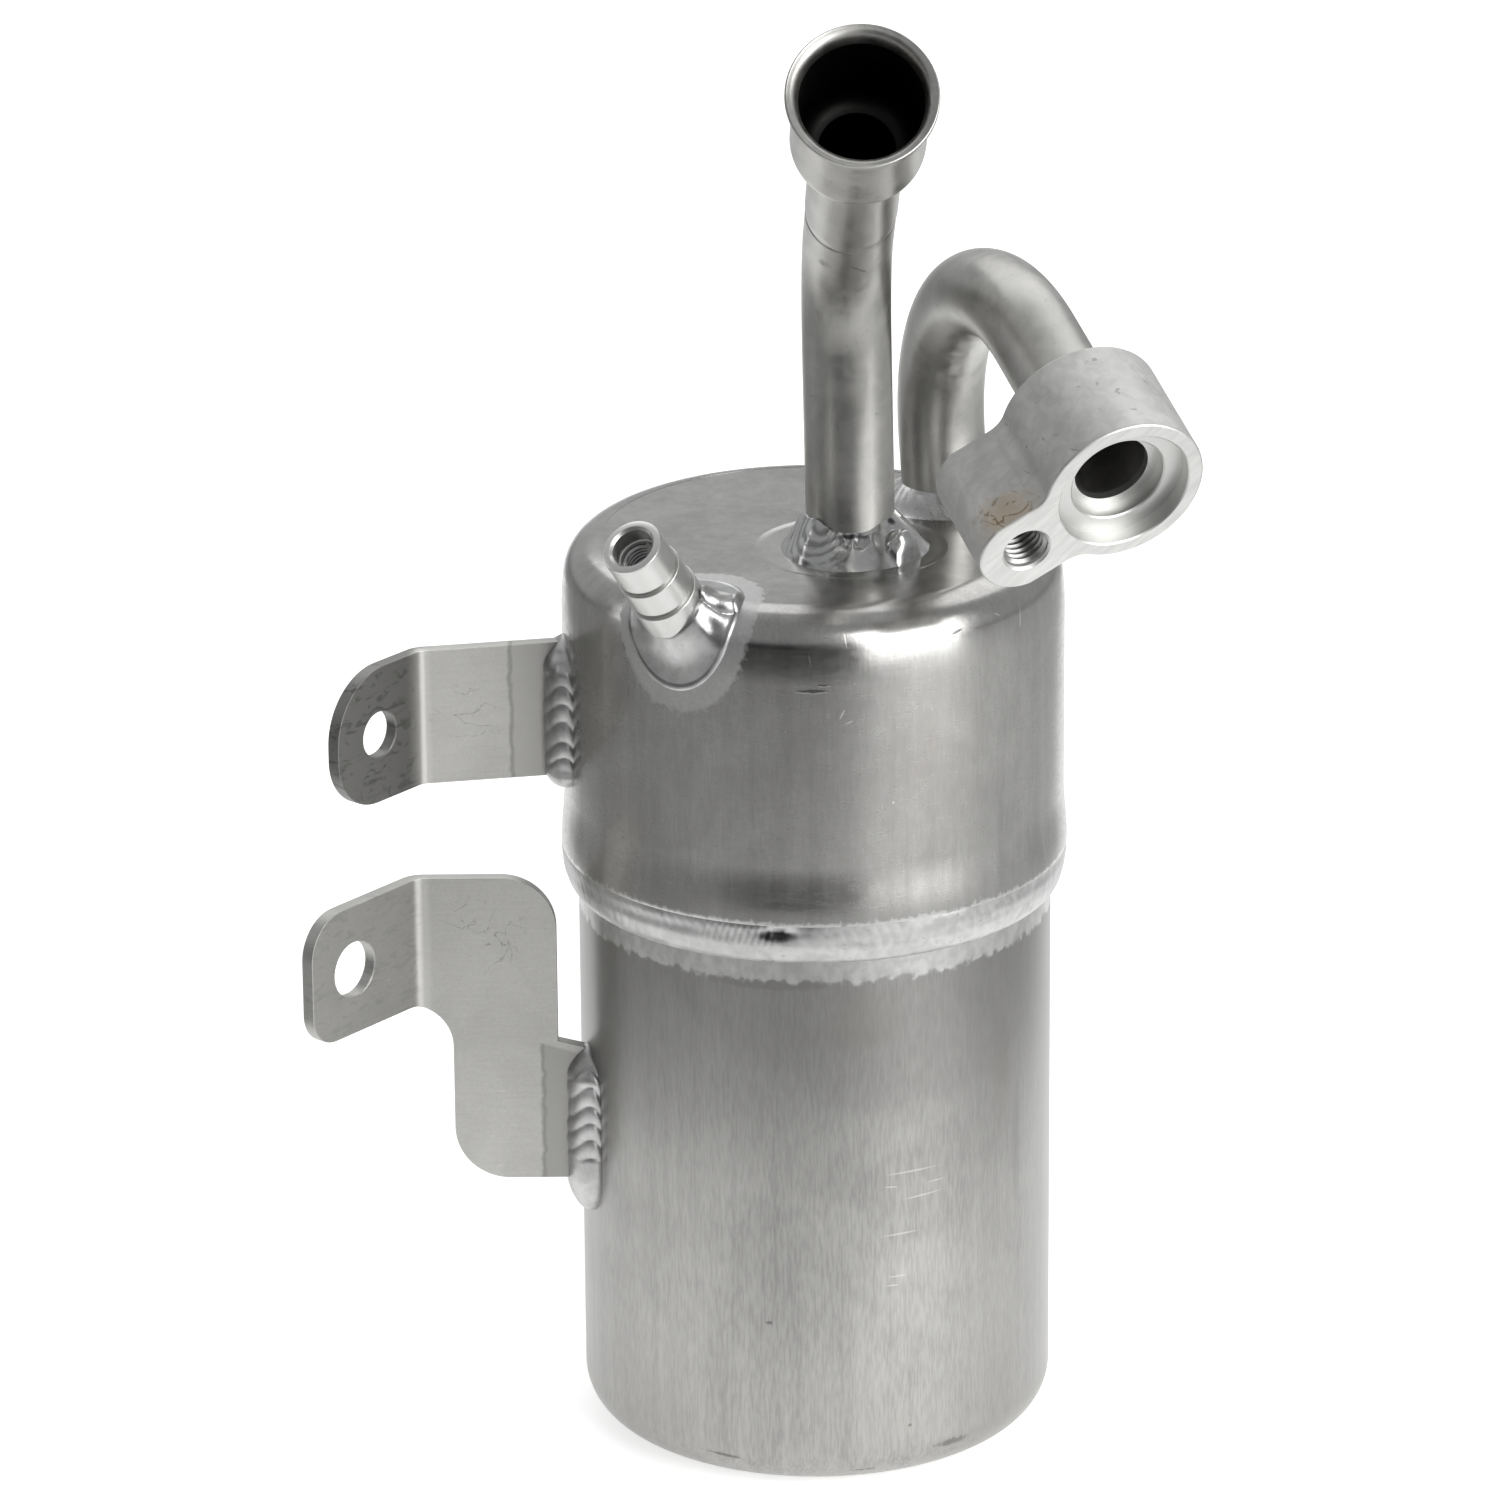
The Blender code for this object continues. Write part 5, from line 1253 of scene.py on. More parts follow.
class ACCUMULATOR_OT_port(Operator):
    """Model the service port and its inner thread"""
    bl_idname = "accumulator.port"
    bl_label = "Service port"

    def execute(self, context):
        scene = context.scene
        can, port = scene.accumulator_can, scene.accumulator_port
        place = port_mouth(can, port)
        radius, edge, small = port.radius, port.edge, 0.12 * MM
        profile = [(radius - edge, 0.0), (radius - edge * 0.3, -edge * 0.3), (radius, -edge)]
        for groove in PORT_GROOVES:
            floor = radius - port.groove_depth
            bottom = -groove - port.groove_width
            profile += [(radius, small - groove), (radius - small, -groove), (floor, -groove)]
            radius += port.step
            profile += [(floor, bottom), (radius - small, bottom), (radius, bottom - small)]
        seat = -port.height + GAP
        tail_end = -port.height - can.shoulder + 1.0 * MM
        profile += [(radius, seat), (5.0 * MM, seat), (5.0 * MM, tail_end), (port.bore, tail_end)]
        depth = -13.0 * MM
        profile += [(port.bore, depth), (port.thread_root, depth + 0.8 * MM),
                    (port.thread_root, -port.mouth_depth - 0.3 * MM),
                    (port.mouth_radius, -port.mouth_depth), (port.mouth_radius, -edge),
                    (port.mouth_radius + edge, 0.0)]
        body = lathe(profile, 96, place, closed=True)
        publish("service_port_turned", body, turned_finish("turned_port", scene.accumulator_colours, place),
                "service_port", 30.0)
        thread = coil(port.thread_root + THREAD_SUNK, port.thread_crest, port.pitch, 10.5)
        low = place @ Matrix.Translation((0, 0, depth + 0.9 * MM))
        bmesh.ops.transform(thread, matrix=low, verts=thread.verts)
        publish("service_port_thread", thread, dark_thread_finish(scene.accumulator_colours),
                None, 20.0)
        return {"FINISHED"}


class ACCUMULATOR_OT_brackets(Operator):
    """Model the two folded brackets"""
    bl_idname = "accumulator.brackets"
    bl_label = "Brackets"

    def execute(self, context):
        scene = context.scene
        can, brackets = scene.accumulator_can, scene.accumulator_brackets
        colours = scene.accumulator_colours
        near = can.radius + GAP - 0.2 * MM
        end = tab_distance(brackets, UPPER_PLATE, 22.0 * MM)
        base, top = brackets.upper_base, brackets.upper_base + brackets.upper_height
        outline = [(near, base)]
        outline += corner(end, base, 10.0 * MM, -90, 16)
        outline += corner(end, top, 12.5 * MM, 0, 20)
        outline += [(near, top)]
        centre = (tab_distance(brackets, UPPER_PLATE, 11.0 * MM), (base + top) / 2)
        plate = self.drilled(brackets, outline, centre, brackets.upper_hole)
        shape = folded(brackets, plate, UPPER_PLATE)
        strip, tab = (-54.3, 200.0, 0.86), 0.78
        cracks = ((-62.0, -11.0, 138.0), (9.0, 4.0, 9.0))
        fold = ((-69.9, -12.3, 138.0), (2.2, 2.2, 40.0))
        finish = sheet_finish("rolled_sheet_upper", colours, strip, fold, tab, cracks)
        publish("upper_bracket_folded", shape, finish, "upper_bracket", 30.0)

        offset = LOWER_PLATE[2]
        back = offset - brackets.sheet
        foot = math.sqrt(can.foot_radius**2 - back**2) + GAP - 0.2 * MM
        waist = math.sqrt((can.radius + can.flare) ** 2 - back**2)
        arm_near = waist + 2.6 * MM - can.flare
        leg_far = foot + 0.2 * MM + brackets.leg_width
        leg_base, arm_base = brackets.leg_base, brackets.arm_base
        foot_top, arm_top = leg_base + 25.6 * MM, arm_base + brackets.arm_height
        end = tab_distance(brackets, LOWER_PLATE, 28.0 * MM)
        outline = [(foot, leg_base)]
        outline += corner(leg_far, leg_base, 10.0 * MM, -90, 16)
        fillet = 8.2 * MM
        outline += arc((leg_far + fillet, arm_base - fillet), fillet, 180, 90, 14)
        outline += corner(end, arm_base, 6.0 * MM, -90, 12)
        outline += corner(end, arm_top, 8.0 * MM, 0, 14)
        outline += corner(arm_near, arm_top, 10.0 * MM, 90, 16)
        outline += [(arm_near, foot_top + 1.2 * MM), (foot, foot_top)]
        centre = (tab_distance(brackets, LOWER_PLATE, 16.8 * MM), (arm_base + arm_top) / 2)
        plate = self.drilled(brackets, outline, centre, brackets.lower_hole)
        shape = folded(brackets, plate, LOWER_PLATE)
        strip, tab = (-49.6, 60.6, 0.66), 0.2
        cracks = ((-60.0, -12.0, 96.0), (10.0, 4.0, 9.0))
        fold = ((-70.9, -12.4, 95.0), (2.2, 2.2, 40.0))
        finish = sheet_finish("rolled_sheet_lower", colours, strip, fold, tab, cracks)
        publish("lower_bracket_folded", shape, finish, "lower_bracket", 30.0)
        return {"FINISHED"}

    def drilled(self, brackets, outline, centre, radius):
        """The flat pattern with worn rims and its hole."""
        plate = prism(outline, brackets.sheet, brackets.edge, 2)
        sheet, edge, proud = brackets.sheet, 0.2 * MM, 1.0 * MM
        profile = [(0.0, proud), (radius + edge + proud, proud), (radius, -edge),
                   (radius, edge - sheet), (radius + edge + proud, -sheet - proud), (0.0, -sheet - proud)]
        return carved(plate, [lathe(profile, 64, Matrix.Translation((*centre, 0)))])


def lobes(phase):
    """Rounded ridges with sharp valleys between them, from 0 to 1."""
    part = phase - math.floor(phase)
    return 1.0 - (2.0 * part - 1.0) ** 2


def away_from(point, centre):
    """Distance seen from above between a point and a place in millimetres."""
    return math.hypot(point.x - centre[0] * MM, point.y - centre[1] * MM)


def hump(point, centre, reach, height):
    """Height of a soft swelling, all sizes in millimetres."""
    away = away_from(point, centre) / (reach * MM)
    return height * MM * math.exp(-away * away * 1.6)


def dome(point, centre, reach, height):
    """Height of a round drop with a clear edge, all sizes in millimetres."""
    away = away_from(point, centre) / (reach * MM)
    return height * MM * max(0.0, 1.0 - away * away) ** 0.58


def ring_weld(root, toe, height, place, relief, wander, climb, rows=34, steps=576):
    """A fillet bead round a tube. relief(angle, share, point) lifts its skin in metres, with a
    share of 0 at the toe and 1 at the root; wander(angle) stretches its toe and climb(angle)
    gives the share of its height."""
    profile = [(root - 0.5 * MM, -0.5 * MM), (toe - 0.05 * MM, -0.5 * MM)]
    for i in range(rows + 1):
        share = i / rows
        rise = 0.45 * math.sin(share * math.pi / 2) + 0.55 * share**1.6
        profile.append((toe - (toe - root + 0.3 * MM) * share, height * rise - 0.1 * MM))
    profile.append((root - 0.5 * MM, height - 0.4 * MM))
    shape = lathe(profile, steps, closed=True)
    for vert in shape.verts:
        reach = math.hypot(vert.co.x, vert.co.y)
        angle = math.atan2(vert.co.y, vert.co.x)
        share = min(1.0, (toe - reach) / (toe - root))
        stretched = reach + max(0.0, reach - root) * (wander(angle) - 1.0)
        if vert.co.z > 0.0:
            vert.co.z *= climb(angle)
        lift = relief(angle, share, vert.co) if vert.co.z > -0.2 * MM and share < 0.99 else 0.0
        ends = smooth(0.0, 0.1, share) * (1.0 - smooth(0.9, 1.0, share))
        vert.co = (vert.co.x * stretched / reach, vert.co.y * stretched / reach, vert.co.z + lift * ends)
    bmesh.ops.transform(shape, matrix=place, verts=shape.verts)
    return shape


class ACCUMULATOR_OT_welds(Operator):
    """Model the weld beads with their ripples"""
    bl_idname = "accumulator.welds"
    bl_label = "Welds"

    def execute(self, context):
        scene = context.scene
        can, welds = scene.accumulator_can, scene.accumulator_welds
        colours, tubes = scene.accumulator_colours, scene.accumulator_tubes
        self.waist(can, colours)
        self.inlet(can, tubes, welds, colours)
        self.outlet(can, tubes, welds, colours)
        self.port(scene)
        half_sheet = scene.accumulator_brackets.sheet / 2
        upper = heading(UPPER_PLATE[0])
        middle = upper * can.radius - heading(UPPER_PLATE[0] + math.pi / 2) * half_sheet
        shape = self.upright(welds, middle, bottom=123.4 * MM, top=151.9 * MM, taper=3.5 * MM,
                             pitch=3.3 * MM, lobe=4.0 * MM)
        dark_spots = (((-46.5, -12.0, 150.0), (2.5, 2.5, 1.0)),)
        finish = weld_finish("bead_upper_bracket", colours, dark_spots, 0.34)
        publish("upper_bracket_bead", shape, finish, "upper_bracket_weld", 50.0)

        offset = LOWER_PLATE[2] - half_sheet
        middle = Vector((-math.sqrt(can.foot_radius**2 - offset**2), -offset, 0))
        shape = self.upright(welds, middle, bottom=42.3 * MM, top=74.8 * MM, taper=7.8 * MM,
                             pitch=3.2 * MM, lobe=11.0 * MM)
        dark_spots = (((-43.5, -16.0, 73.9), (2.6, 3.0, 1.2)),)
        finish = weld_finish("bead_lower_bracket", colours, dark_spots, 0.34)
        publish("lower_bracket_bead", shape, finish, "lower_bracket_weld", 50.0)
        return {"FINISHED"}

    def waist(self, can, colours):
        """The bead between the shells, with a start crater in front and a wavy top edge."""
        root = can.foot_radius - 0.15 * MM
        reach = can.radius + can.flare - 0.05 * MM
        top, drop = can.waist + 0.35 * MM, can.weld_drop + 0.2 * MM
        profile = [(root, can.waist + 0.1 * MM), (reach - 1.0 * MM, can.waist + 0.1 * MM)]
        rows = 26
        for i in range(rows + 1):
            a = math.radians(90 * i / rows)
            profile.append((root + (reach - root) * math.cos(a) ** 0.85, top - drop * math.sin(a)))
        shape = lathe(profile, 1260, closed=True)

        def ripple(point):
            if math.hypot(point.x, point.y) < root + 0.2 * MM:
                return 0.0
            share = (top - point.z) / drop
            window = smooth(0.0, 0.08, share) * (1.0 - smooth(0.82, 1.0, share))
            degrees = math.degrees(math.atan2(point.y, point.x))
            bow = (share - 0.5) ** 2 * 3.2
            wave = lobes(degrees / 2.6 + bow) * 0.05
            slow = noise.noise(Vector((point.x * 90, point.y * 90, share))) * 0.16
            pull = noise.noise(Vector((point.x * 35, point.y * 35, share * 5))) * 0.10
            crater = math.exp(-((degrees + 98.5) / 3.4) ** 2 - ((share - 0.18) / 0.13) ** 2)
            mound = math.exp(-((degrees + 92.0) / 3.0) ** 2 - ((share - 0.3) / 0.3) ** 2)
            # Slanted ripples on the crater's left
            beside = smooth(-121.0, -106.0, degrees) * (1.0 - smooth(-101.5, -98.5, degrees))
            fading = beside * (1.0 - smooth(0.5, 0.8, share))
            slanted = lobes(degrees / 1.5 + share * 2.2) * 0.2 * fading
            return (wave + slow + pull + slanted - crater * 0.8 + mound * 0.15) * MM * window

        push(shape, ripple)
        angle = math.radians(-99.0)
        crater = (45.0 * math.cos(angle), 45.0 * math.sin(angle), 108.7)
        finish = weld_finish("bead_waist", colours, ((crater, (4.2, 3.0, 1.3)),), 0.3)
        publish("waist_weld_bead", shape, finish, "girth_weld", 50.0)

    def inlet(self, can, tubes, welds, colours):
        """A wide pool: a scaled mound on the left, a low flat in front and a ball on the right."""
        def relief(angle, share, point):
            away = away_from(point, (-5.6, -6.2)) / MM
            wobble = noise.noise(point * 130.0) * 0.8
            rim = smooth(1.4, 3.4, away) * (1.0 - smooth(8.5, 10.5, away))
            left = 1.0 - smooth(-4.2 * MM, -1.6 * MM, point.x)
            scales = lobes(away / 0.85 + wobble * 0.6) * 0.2 * rim * left
            slow = noise.noise(point * 170.0) * 0.22 + noise.noise(point * 420.0) * 0.05
            height = (scales + slow) * MM + hump(point, (-7.2, -7.4), 4.4, 1.5)
            height -= hump(point, (-0.9, -8.8), 1.2, 0.7) + hump(point, (1.2, -9.0), 1.1, 0.7)
            height += hump(point, (3.6, -8.6), 1.2, 0.4)
            ball = dome(point, (8.8, -6.9), 3.5, 3.2)
            ledge = 2.6 * MM * (1.0 - smooth(11.4 * MM, 14.2 * MM, math.hypot(point.x, point.y)))
            return max(height, ball + ledge - point.z) if ball else height

        def wander(angle):
            return 1.0 + 0.10 * math.cos(angle - 0.2) + 0.05 * math.sin(angle * 3.0 + 1.0)

        def climb(angle):
            """Lower in front of the tube than at its sides."""
            front = math.degrees(angle) % 360.0
            return 1.0 - 0.22 * smooth(215.0, 262.0, front) * (1.0 - 0.8 * smooth(285.0, 320.0, front))

        place = Matrix.Translation(Vector((INLET_FOOT.x, INLET_FOOT.y, can.height - 0.25 * MM)))
        shape = ring_weld(tubes.inlet_radius, welds.inlet_radius, welds.inlet_height,
                          place, relief, wander, climb)
        # Dark spots: painted shadows right of the ball and between the ball and the tube, and a dark streak
        # at the tube's front foot
        dark_spots = (((19.0, -15.9, 170.8), (1.8, 1.5, 2.0)), ((14.0, -11.4, 174.4), (1.4, 1.4, 1.3)),
                ((6.6, -15.4, 172.7), (3.2, 0.9, 0.6)))
        scales = ((1.6, -13.2, 171.5), (8.4, 8.4, 5.0), 1.15)
        publish("inlet_weld_bead", shape, weld_finish("bead_inlet", colours, dark_spots, 0.13, scales),
                "inlet_weld", 60.0)

    def outlet(self, can, tubes, welds, colours):
        def relief(angle, share, point):
            slow = noise.noise(point * 150.0 + Vector((4.0, 0.0, 0.0))) * 0.8
            scales = lobes(math.degrees(angle) / 14.0 + share * 1.2) * 0.10
            return (slow + scales) * MM

        def wander(angle):
            return 1.0 + 0.08 * math.sin(angle * 2.0 + 2.0) + 0.05 * math.sin(angle * 5.0)

        place = Matrix.Translation(Vector((OUTLET_FOOT.x, OUTLET_FOOT.y, can.height)))
        shape = ring_weld(tubes.outlet_radius, welds.outlet_radius, welds.outlet_height,
                          place, relief, wander, lambda angle: 1.0, 26, 384)
        publish("outlet_weld_bead", shape, weld_finish("bead_outlet", colours, (), 0.2),
                "outlet_weld", 60.0)

    def port(self, scene):
        """A low apron laid over the shoulder round the port, with a dome on the inlet's side."""
        can, port, welds = scene.accumulator_can, scene.accumulator_port, scene.accumulator_welds
        place = port_mouth(can, port) @ Matrix.Translation((0, PORT_WELD_SHIFT, -port.height))
        root = port.radius + port.step * 2 - PORT_WELD_SHIFT
        toe = welds.port_radius
        core, corner = can.radius - can.shoulder, can.shoulder

        def above_shell(point):
            """Height of a local point over the can's rounded skin."""
            there = place @ point
            out, rise = math.hypot(there.x, there.y) - core, there.z - (can.height - corner)
            return math.hypot(max(out, 0.0), max(rise, 0.0)) + min(max(out, rise), 0.0) - corner

        def shell_level(x, y):
            low, high = -16.0 * MM, 4.0 * MM
            for i in range(18):
                middle = (low + high) / 2
                if above_shell(Vector((x, y, middle))) > 0.0:
                    high = middle
                else:
                    low = middle
            return low

        skin = ((0.1, -0.5), (0.0, 0.02), (-0.12, 0.16), (-0.30, 0.24), (-0.48, 0.18), (-0.62, 0.06),
                (-0.8, 0.03), (-1.1, 0.08), (-1.6, 0.16), (-2.1, 0.26), (-2.6, 0.42), (-3.0, 0.66),
                (-3.3, 0.95), (-3.6, 1.3), (-3.9, 1.75), (-4.2, 2.3), (-4.5, 2.9), (-4.9, 3.5))
        profile = [(toe + out * MM, lift * MM) for out, lift in skin]
        profile += [(root - 0.5 * MM, 3.4 * MM), (root - 0.5 * MM, -0.8 * MM), (toe + 0.1 * MM, -0.8 * MM)]
        shape = lathe(profile, 360, closed=True)
        bmesh.ops.subdivide_edges(shape, edges=[e for e in shape.edges if abs(
            math.hypot(*e.verts[0].co.xy) - math.hypot(*e.verts[1].co.xy)) > 0.25 * MM], cuts=2)
        for vert in shape.verts:
            point = vert.co.copy()
            reach = math.hypot(point.x, point.y)
            inside = smooth(0.0, 0.8 * MM, toe - 0.7 * MM - reach)
            lift = noise.noise(point * 200.0) * 0.16 * MM * inside
            drop = dome(point, (-4.4, 7.2), 3.5, 2.8)
            ridges = hump(point, (-0.2, 7.8), 2.0, 0.9) + hump(point, (3.2, 6.9), 1.6, 0.6)
            ridges += hump(point, (-7.4, 3.6), 2.2, 0.6)
            if point.z > -0.4 * MM:
                lift = lift + max(drop, ridges * inside)
            vert.co.z = point.z + lift + shell_level(point.x, point.y)
        bmesh.ops.transform(shape, matrix=place, verts=shape.verts)
        dark_spots = (((-12.6, -39.5, 160.6), (0.5, 0.9, 0.5)),)
        publish("service_port_bead", shape, weld_finish("bead_port", scene.accumulator_colours, dark_spots, 0.25),
                "service_port_weld", 60.0)

    def upright(self, welds, centre, bottom, top, taper, pitch, lobe):
        """A bead standing at a bracket's foot, in stacked crescents over one smooth lobe."""
        shape = bmesh.new()
        bmesh.ops.create_uvsphere(shape, u_segments=96, v_segments=180, radius=1.0)
        half = (top - bottom) / 2
        depth, width = welds.bead_depth, welds.bead_width
        for vert in shape.verts:
            z = vert.co.z
            level = math.asin(max(-1.0, min(1.0, z))) / (math.pi / 2)
            ends = 1.0
            height = level * half
            if height > half - 6.0 * MM:
                ends = max(0.0, 1 - ((height - half + 6.0 * MM) / (6.0 * MM)) ** 1.8) ** 0.8
            elif height < taper - half:
                ends = math.sqrt(max(0.0, 1 - ((taper - half - height) / taper) ** 2))
            around = Vector((vert.co.x, vert.co.y))
            around = around.normalized() if around.length > 1e-6 else Vector((0.0, 0.0))
            vert.co = (around.x * depth * ends, around.y * width * ends, height)
        bmesh.ops.remove_doubles(shape, verts=shape.verts, dist=0.002 * MM)

        def ripple(point):
            bow = ((point.x - 1.3 * MM) / (2.6 * MM)) ** 2
            wobble = noise.noise(Vector((point.x * 90.0, 3.0, point.z * 130.0))) * 0.5
            wave = lobes(point.z / pitch + bow + wobble) * 0.26 - 0.26
            tail = smooth(0.0, 2.0 * MM, point.z + half - lobe)
            slow = noise.noise(point * 150.0) * 0.3
            inner = smooth(0.0, 2.5 * MM, half - abs(point.z))
            return (wave * tail + slow) * MM * inner

        push(shape, ripple)
        middle = Vector((centre.x, centre.y, (bottom + top) / 2))
        bmesh.ops.transform(shape, matrix=frame_at(middle, UP, Vector((centre.x, centre.y, 0))),
                            verts=shape.verts)
        bmesh.ops.recalc_face_normals(shape, faces=shape.faces)
        return shape


class ACCUMULATOR_OT_insides(Operator):
    """Model the desiccant bag and finish the hidden CAD pieces"""
    bl_idname = "accumulator.insides"
    bl_label = "Inside pieces"

    def execute(self, context):
        colours = context.scene.accumulator_colours
        finishes = {
            "pickup_tube": hidden_tube_finish(colours),
            "vapour_baffle": moulded_finish("black_baffle", colours.moulding, 0.5),
            "bleed_filter_housing": moulded_finish("black_filter", colours.moulding, 0.42),
            "bag_strap": woven_finish("nylon_strap", colours.nylon, 0.9, 0.08),
            "bleed_filter_screen": woven_finish("nylon_screen", colours.nylon, 0.55, 0.1),
        }
        for node, finish in finishes.items():
            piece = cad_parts[node]
            if not piece.material_slots:
                raise RuntimeError(f"{node} has no material slot.")
            for slot in piece.material_slots:
                slot.material = finish
        self.bag(colours)
        return {"FINISHED"}

    def bag(self, colours):
        """A stuffed felt pillow with flat sewn ends, pinched by its strap."""
        low, high = (Vector(corner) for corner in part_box("desiccant_bag"))
        middle = (low + high) / 2
        side = -Vector((OUTLET_FOOT.x, OUTLET_FOOT.y, 0)).normalized()
        half_width, half_depth = 13.2 * MM, 15.2 * MM
        half_height = (high.z - low.z) / 2 - 0.3 * MM
        shape = bmesh.new()
        bmesh.ops.create_cube(shape, size=2.0)
        bmesh.ops.subdivide_edges(shape, edges=shape.edges[:], cuts=23, use_grid_fill=True)
        # Rounded corners, sides that close in at the sewn ends, and a pinch at the strap
        for vert in shape.verts:
            x, y, z = vert.co
            round_off = 1.0 - 0.16 * (x * x) * (y * y)
            close_in = (1.0 - abs(z) ** 3.2) ** 0.5 if abs(z) < 1.0 else 0.0
            pinch = 1.0 - 0.09 * math.exp(-(z / 0.11) ** 2)
            thick = max(close_in, 0.05)
            vert.co = (x * half_width * round_off * pinch * (0.86 + 0.14 * close_in),
                       y * half_depth * round_off * pinch * thick, z * half_height)

        def folds(point):
            gather = math.sin(point.x * 900.0 + noise.noise(point * 60.0) * 3.0)
            ends = smooth(0.55, 0.95, abs(point.z) / half_height)
            strap = math.exp(-(point.z / (6.0 * MM)) ** 2)
            dents = noise.noise(point * 110.0) * 0.5
            return (gather * 0.3 * (ends + strap * 0.6) + dents - 0.5) * MM

        push(shape, folds)
        bmesh.ops.smooth_vert(shape, verts=shape.verts, factor=0.5, use_axis_x=True,
                              use_axis_y=True, use_axis_z=True)
        bmesh.ops.transform(shape, matrix=frame_at(middle, UP, side), verts=shape.verts)
        bmesh.ops.recalc_face_normals(shape, faces=shape.faces)
        bag = publish("desiccant_bag_sewn", shape, felt_finish(colours),
                      "desiccant_bag", 80.0)


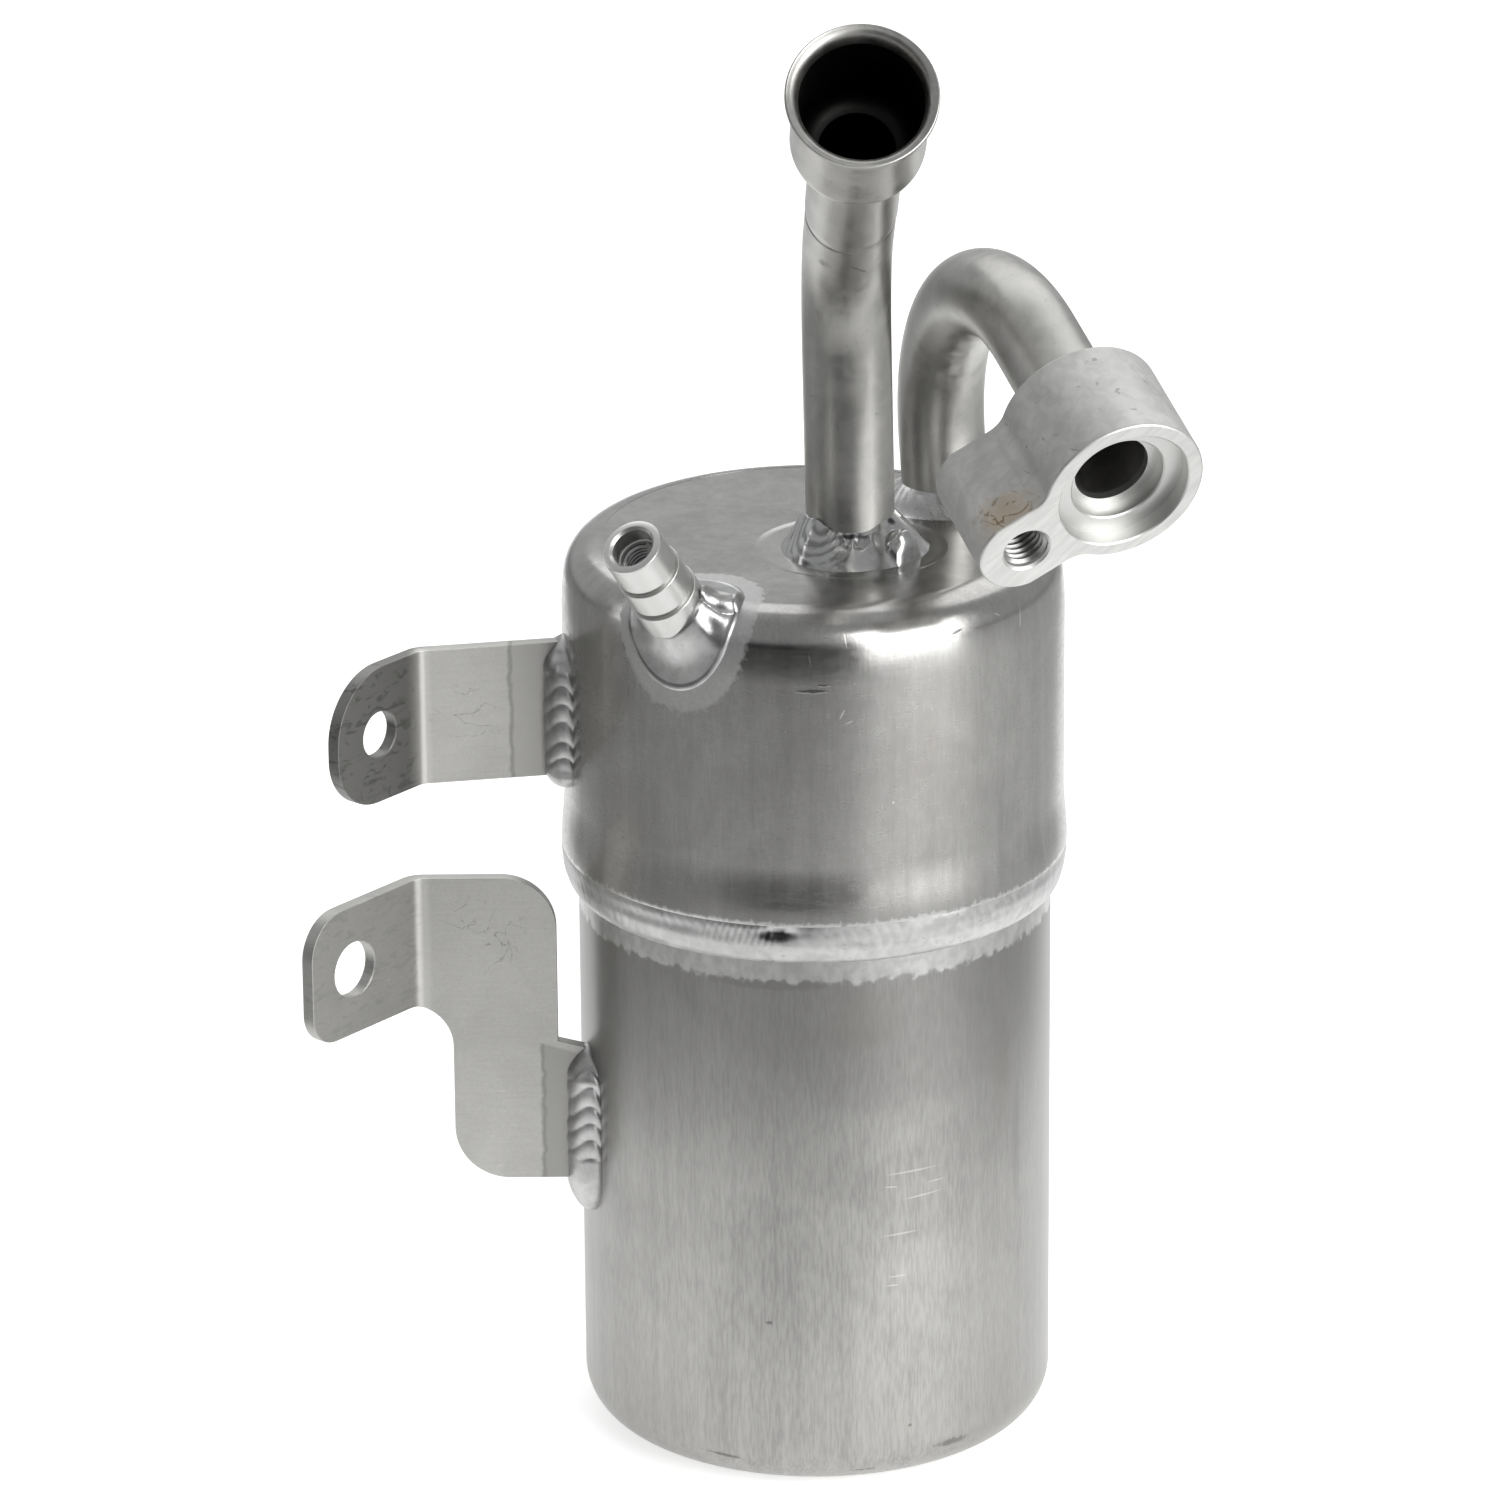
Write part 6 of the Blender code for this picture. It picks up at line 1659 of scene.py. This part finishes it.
class ACCUMULATOR_OT_stage(Operator):
    """Set up the floor, the lights and the camera"""
    bl_idname = "accumulator.stage"
    bl_label = "Stage"

    def execute(self, context):
        scene = context.scene
        stage = scene.accumulator_stage
        self.floor(stage)
        self.room(scene, stage)
        aim = Vector((0.0, 0.0, 0.10))
        self.softbox("overhead_softbox", (0.1, 0.95, 1.2), Vector((0.0, 0.35, 0.0)), (2.0, 1.2),
                     stage.overhead)
        self.softbox("side_softbox", (0.55, -0.55, 0.36), aim, (0.72, 0.8), stage.side)
        self.softbox("left_strip", (-0.80, 0.08, 0.32), aim, (0.06, 0.6), stage.strip)
        self.camera(scene)
        return {"FINISHED"}

    def floor(self, stage):
        shape = bmesh.new()
        bmesh.ops.create_grid(shape, x_segments=8, y_segments=8, size=6.0)
        bmesh.ops.translate(shape, vec=(0, 0, -0.0002), verts=shape.verts)
        floor = loose_object("floor", shape)
        finish = Finish("pale_floor", 0.0, 0.6)
        speckle = finish.grain(60.0, 3.0)
        plain = finish.mixed(speckle, shade(stage.floor, 0.99), shade(stage.floor, 1.0))
        ahead, aside = finish.axis("Y"), finish.axis("X")
        left = finish.step(aside + ahead * 0.09, -0.27, -0.165)
        right = 1.0 - finish.step(aside - ahead * 0.09, 0.14, 0.25)
        # Painted shade, seen only in the metal's reflections: the floor is darker to the left, to the right,
        # in front and at its near edge
        colour = finish.mixed(left, shade(stage.floor, 0.5), plain)
        colour = finish.mixed(right, shade(stage.floor, 0.75), colour)
        colour = finish.mixed(finish.step(ahead, -0.32, -0.11), shade(stage.floor, 0.68), colour)
        near = finish.step(ahead + (speckle - 0.5) * 0.02, -0.48, -0.44)
        colour = finish.mixed(near, shade(stage.floor, 0.12), colour)
        seen = Value(finish, finish.node("ShaderNodeLightPath").outputs["Is Camera Ray"])
        colour = finish.mixed(seen, colour, plain)
        finish.shader.inputs["Specular IOR Level"].default_value = 0.2
        # In the metal's reflections the floor glows behind the part and darkens in front of it
        behind = finish.step(ahead, -0.26, -0.03) * left * right
        finish.feed(finish.shader.inputs["Emission Color"],
                    finish.mixed(behind.or_more(seen), (0.0, 0.0, 0.0), (1.0, 1.0, 1.0)))
        finish.shader.inputs["Emission Strength"].default_value = stage.glow
        floor.data.materials.append(finish.done(colour))

    def room(self, scene, stage):
        """Pale surroundings, with a darker low front that the metal mirrors."""
        world = bpy.data.worlds.new("pale_room")
        scene.world = world
        world.use_nodes = True
        room = Graph(world.node_tree, "Generated")
        rightward = room.axis("X")
        behind = room.step(rightward * 0.55 + room.axis("Y"), -0.45, 0.15)
        raised = room.step(room.axis("Z"), 0.10, 0.34)
        low_front = room.mixed(raised, (0.03, 0.03, 0.032), (0.36, 0.363, 0.367))
        tones = room.mixed(behind, low_front, (0.50, 0.505, 0.51))
        tones = room.mixed(room.step(rightward, 0.30, 0.85) * 0.2, tones, (0.03, 0.03, 0.032))
        seen = Value(room, room.node("ShaderNodeLightPath").outputs["Is Camera Ray"])
        background = room.nodes["Background"]
        room.feed(background.inputs["Color"], room.mixed(seen, tones, (1.0, 1.0, 1.0)))
        background.inputs["Strength"].default_value = stage.surroundings

    def softbox(self, name, place, aim, reach, power):
        light = bpy.data.lights.new(name, "AREA")
        light.shape = "RECTANGLE"
        light.size, light.size_y = reach
        light.energy = power
        lamp = bpy.data.objects.new(name, light)
        bpy.context.scene.collection.objects.link(lamp)
        lamp.matrix_world = frame_at(Vector(place), Vector(place) - aim, UP.cross(Vector(place) - aim))

    def camera(self, scene):
        """The photograph's view: 20.5 degrees down, from 1.5 m, with a slight roll."""
        tilt, roll, away = math.radians(20.5), math.radians(0.48), 1.5
        aim = Vector((-0.0115, 0.0, 0.127))
        back = Vector((0.0, -math.cos(tilt), math.sin(tilt)))
        right, up = Vector((1.0, 0.0, 0.0)), Vector((0.0, math.sin(tilt), math.cos(tilt)))
        across = right * math.cos(roll) - up * math.sin(roll)
        upright = right * math.sin(roll) + up * math.cos(roll)
        data = bpy.data.cameras.new("photograph_view")
        data.sensor_width = 36.0
        data.lens = 200.06
        data.clip_end = 50.0
        camera = bpy.data.objects.new("photograph_view", data)
        scene.collection.objects.link(camera)
        rotation = Matrix((across, upright, back)).transposed().to_4x4()
        camera.matrix_world = Matrix.Translation(aim + back * away) @ rotation
        scene.camera = camera
        scene.view_settings.view_transform = "Standard"
        scene.view_settings.look = "None"


class ACCUMULATOR_PT_pieces(Panel):
    """Lists the pieces and their sizes"""
    bl_idname = "ACCUMULATOR_PT_pieces"
    bl_label = "Accumulator"
    bl_space_type = "VIEW_3D"
    bl_region_type = "UI"
    bl_category = "Accumulator"

    def draw(self, context):
        for step in STEPS:
            self.layout.operator(step.bl_idname)
        for name, group in GROUPS.items():
            box = self.layout.box()
            box.label(text=group.__doc__.rstrip("."))
            settings = getattr(context.scene, name)
            for key in group.__annotations__:
                box.prop(settings, key)


GROUPS = {
    "accumulator_can": CanSizes,
    "accumulator_tubes": TubeSizes,
    "accumulator_block": BlockSizes,
    "accumulator_port": PortSizes,
    "accumulator_brackets": BracketSizes,
    "accumulator_welds": WeldSizes,
    "accumulator_colours": FinishColours,
    "accumulator_stage": StageSettings,
}
STEPS = (
    ACCUMULATOR_OT_stage,
    ACCUMULATOR_OT_shells,
    ACCUMULATOR_OT_tubes,
    ACCUMULATOR_OT_block,
    ACCUMULATOR_OT_port,
    ACCUMULATOR_OT_brackets,
    ACCUMULATOR_OT_welds,
    ACCUMULATOR_OT_insides,
)


def register():
    for item in (*GROUPS.values(), *STEPS, ACCUMULATOR_PT_pieces):
        bpy.utils.register_class(item)
    for name, group in GROUPS.items():
        setattr(bpy.types.Scene, name, PointerProperty(type=group))


def unregister():
    for name in GROUPS:
        delattr(bpy.types.Scene, name)
    for item in reversed((*GROUPS.values(), *STEPS, ACCUMULATOR_PT_pieces)):
        bpy.utils.unregister_class(item)


def main():
    register()
    for step in STEPS:
        family, action = step.bl_idname.split(".")
        getattr(getattr(bpy.ops, family), action)()


if __name__ == "__main__":
    main()
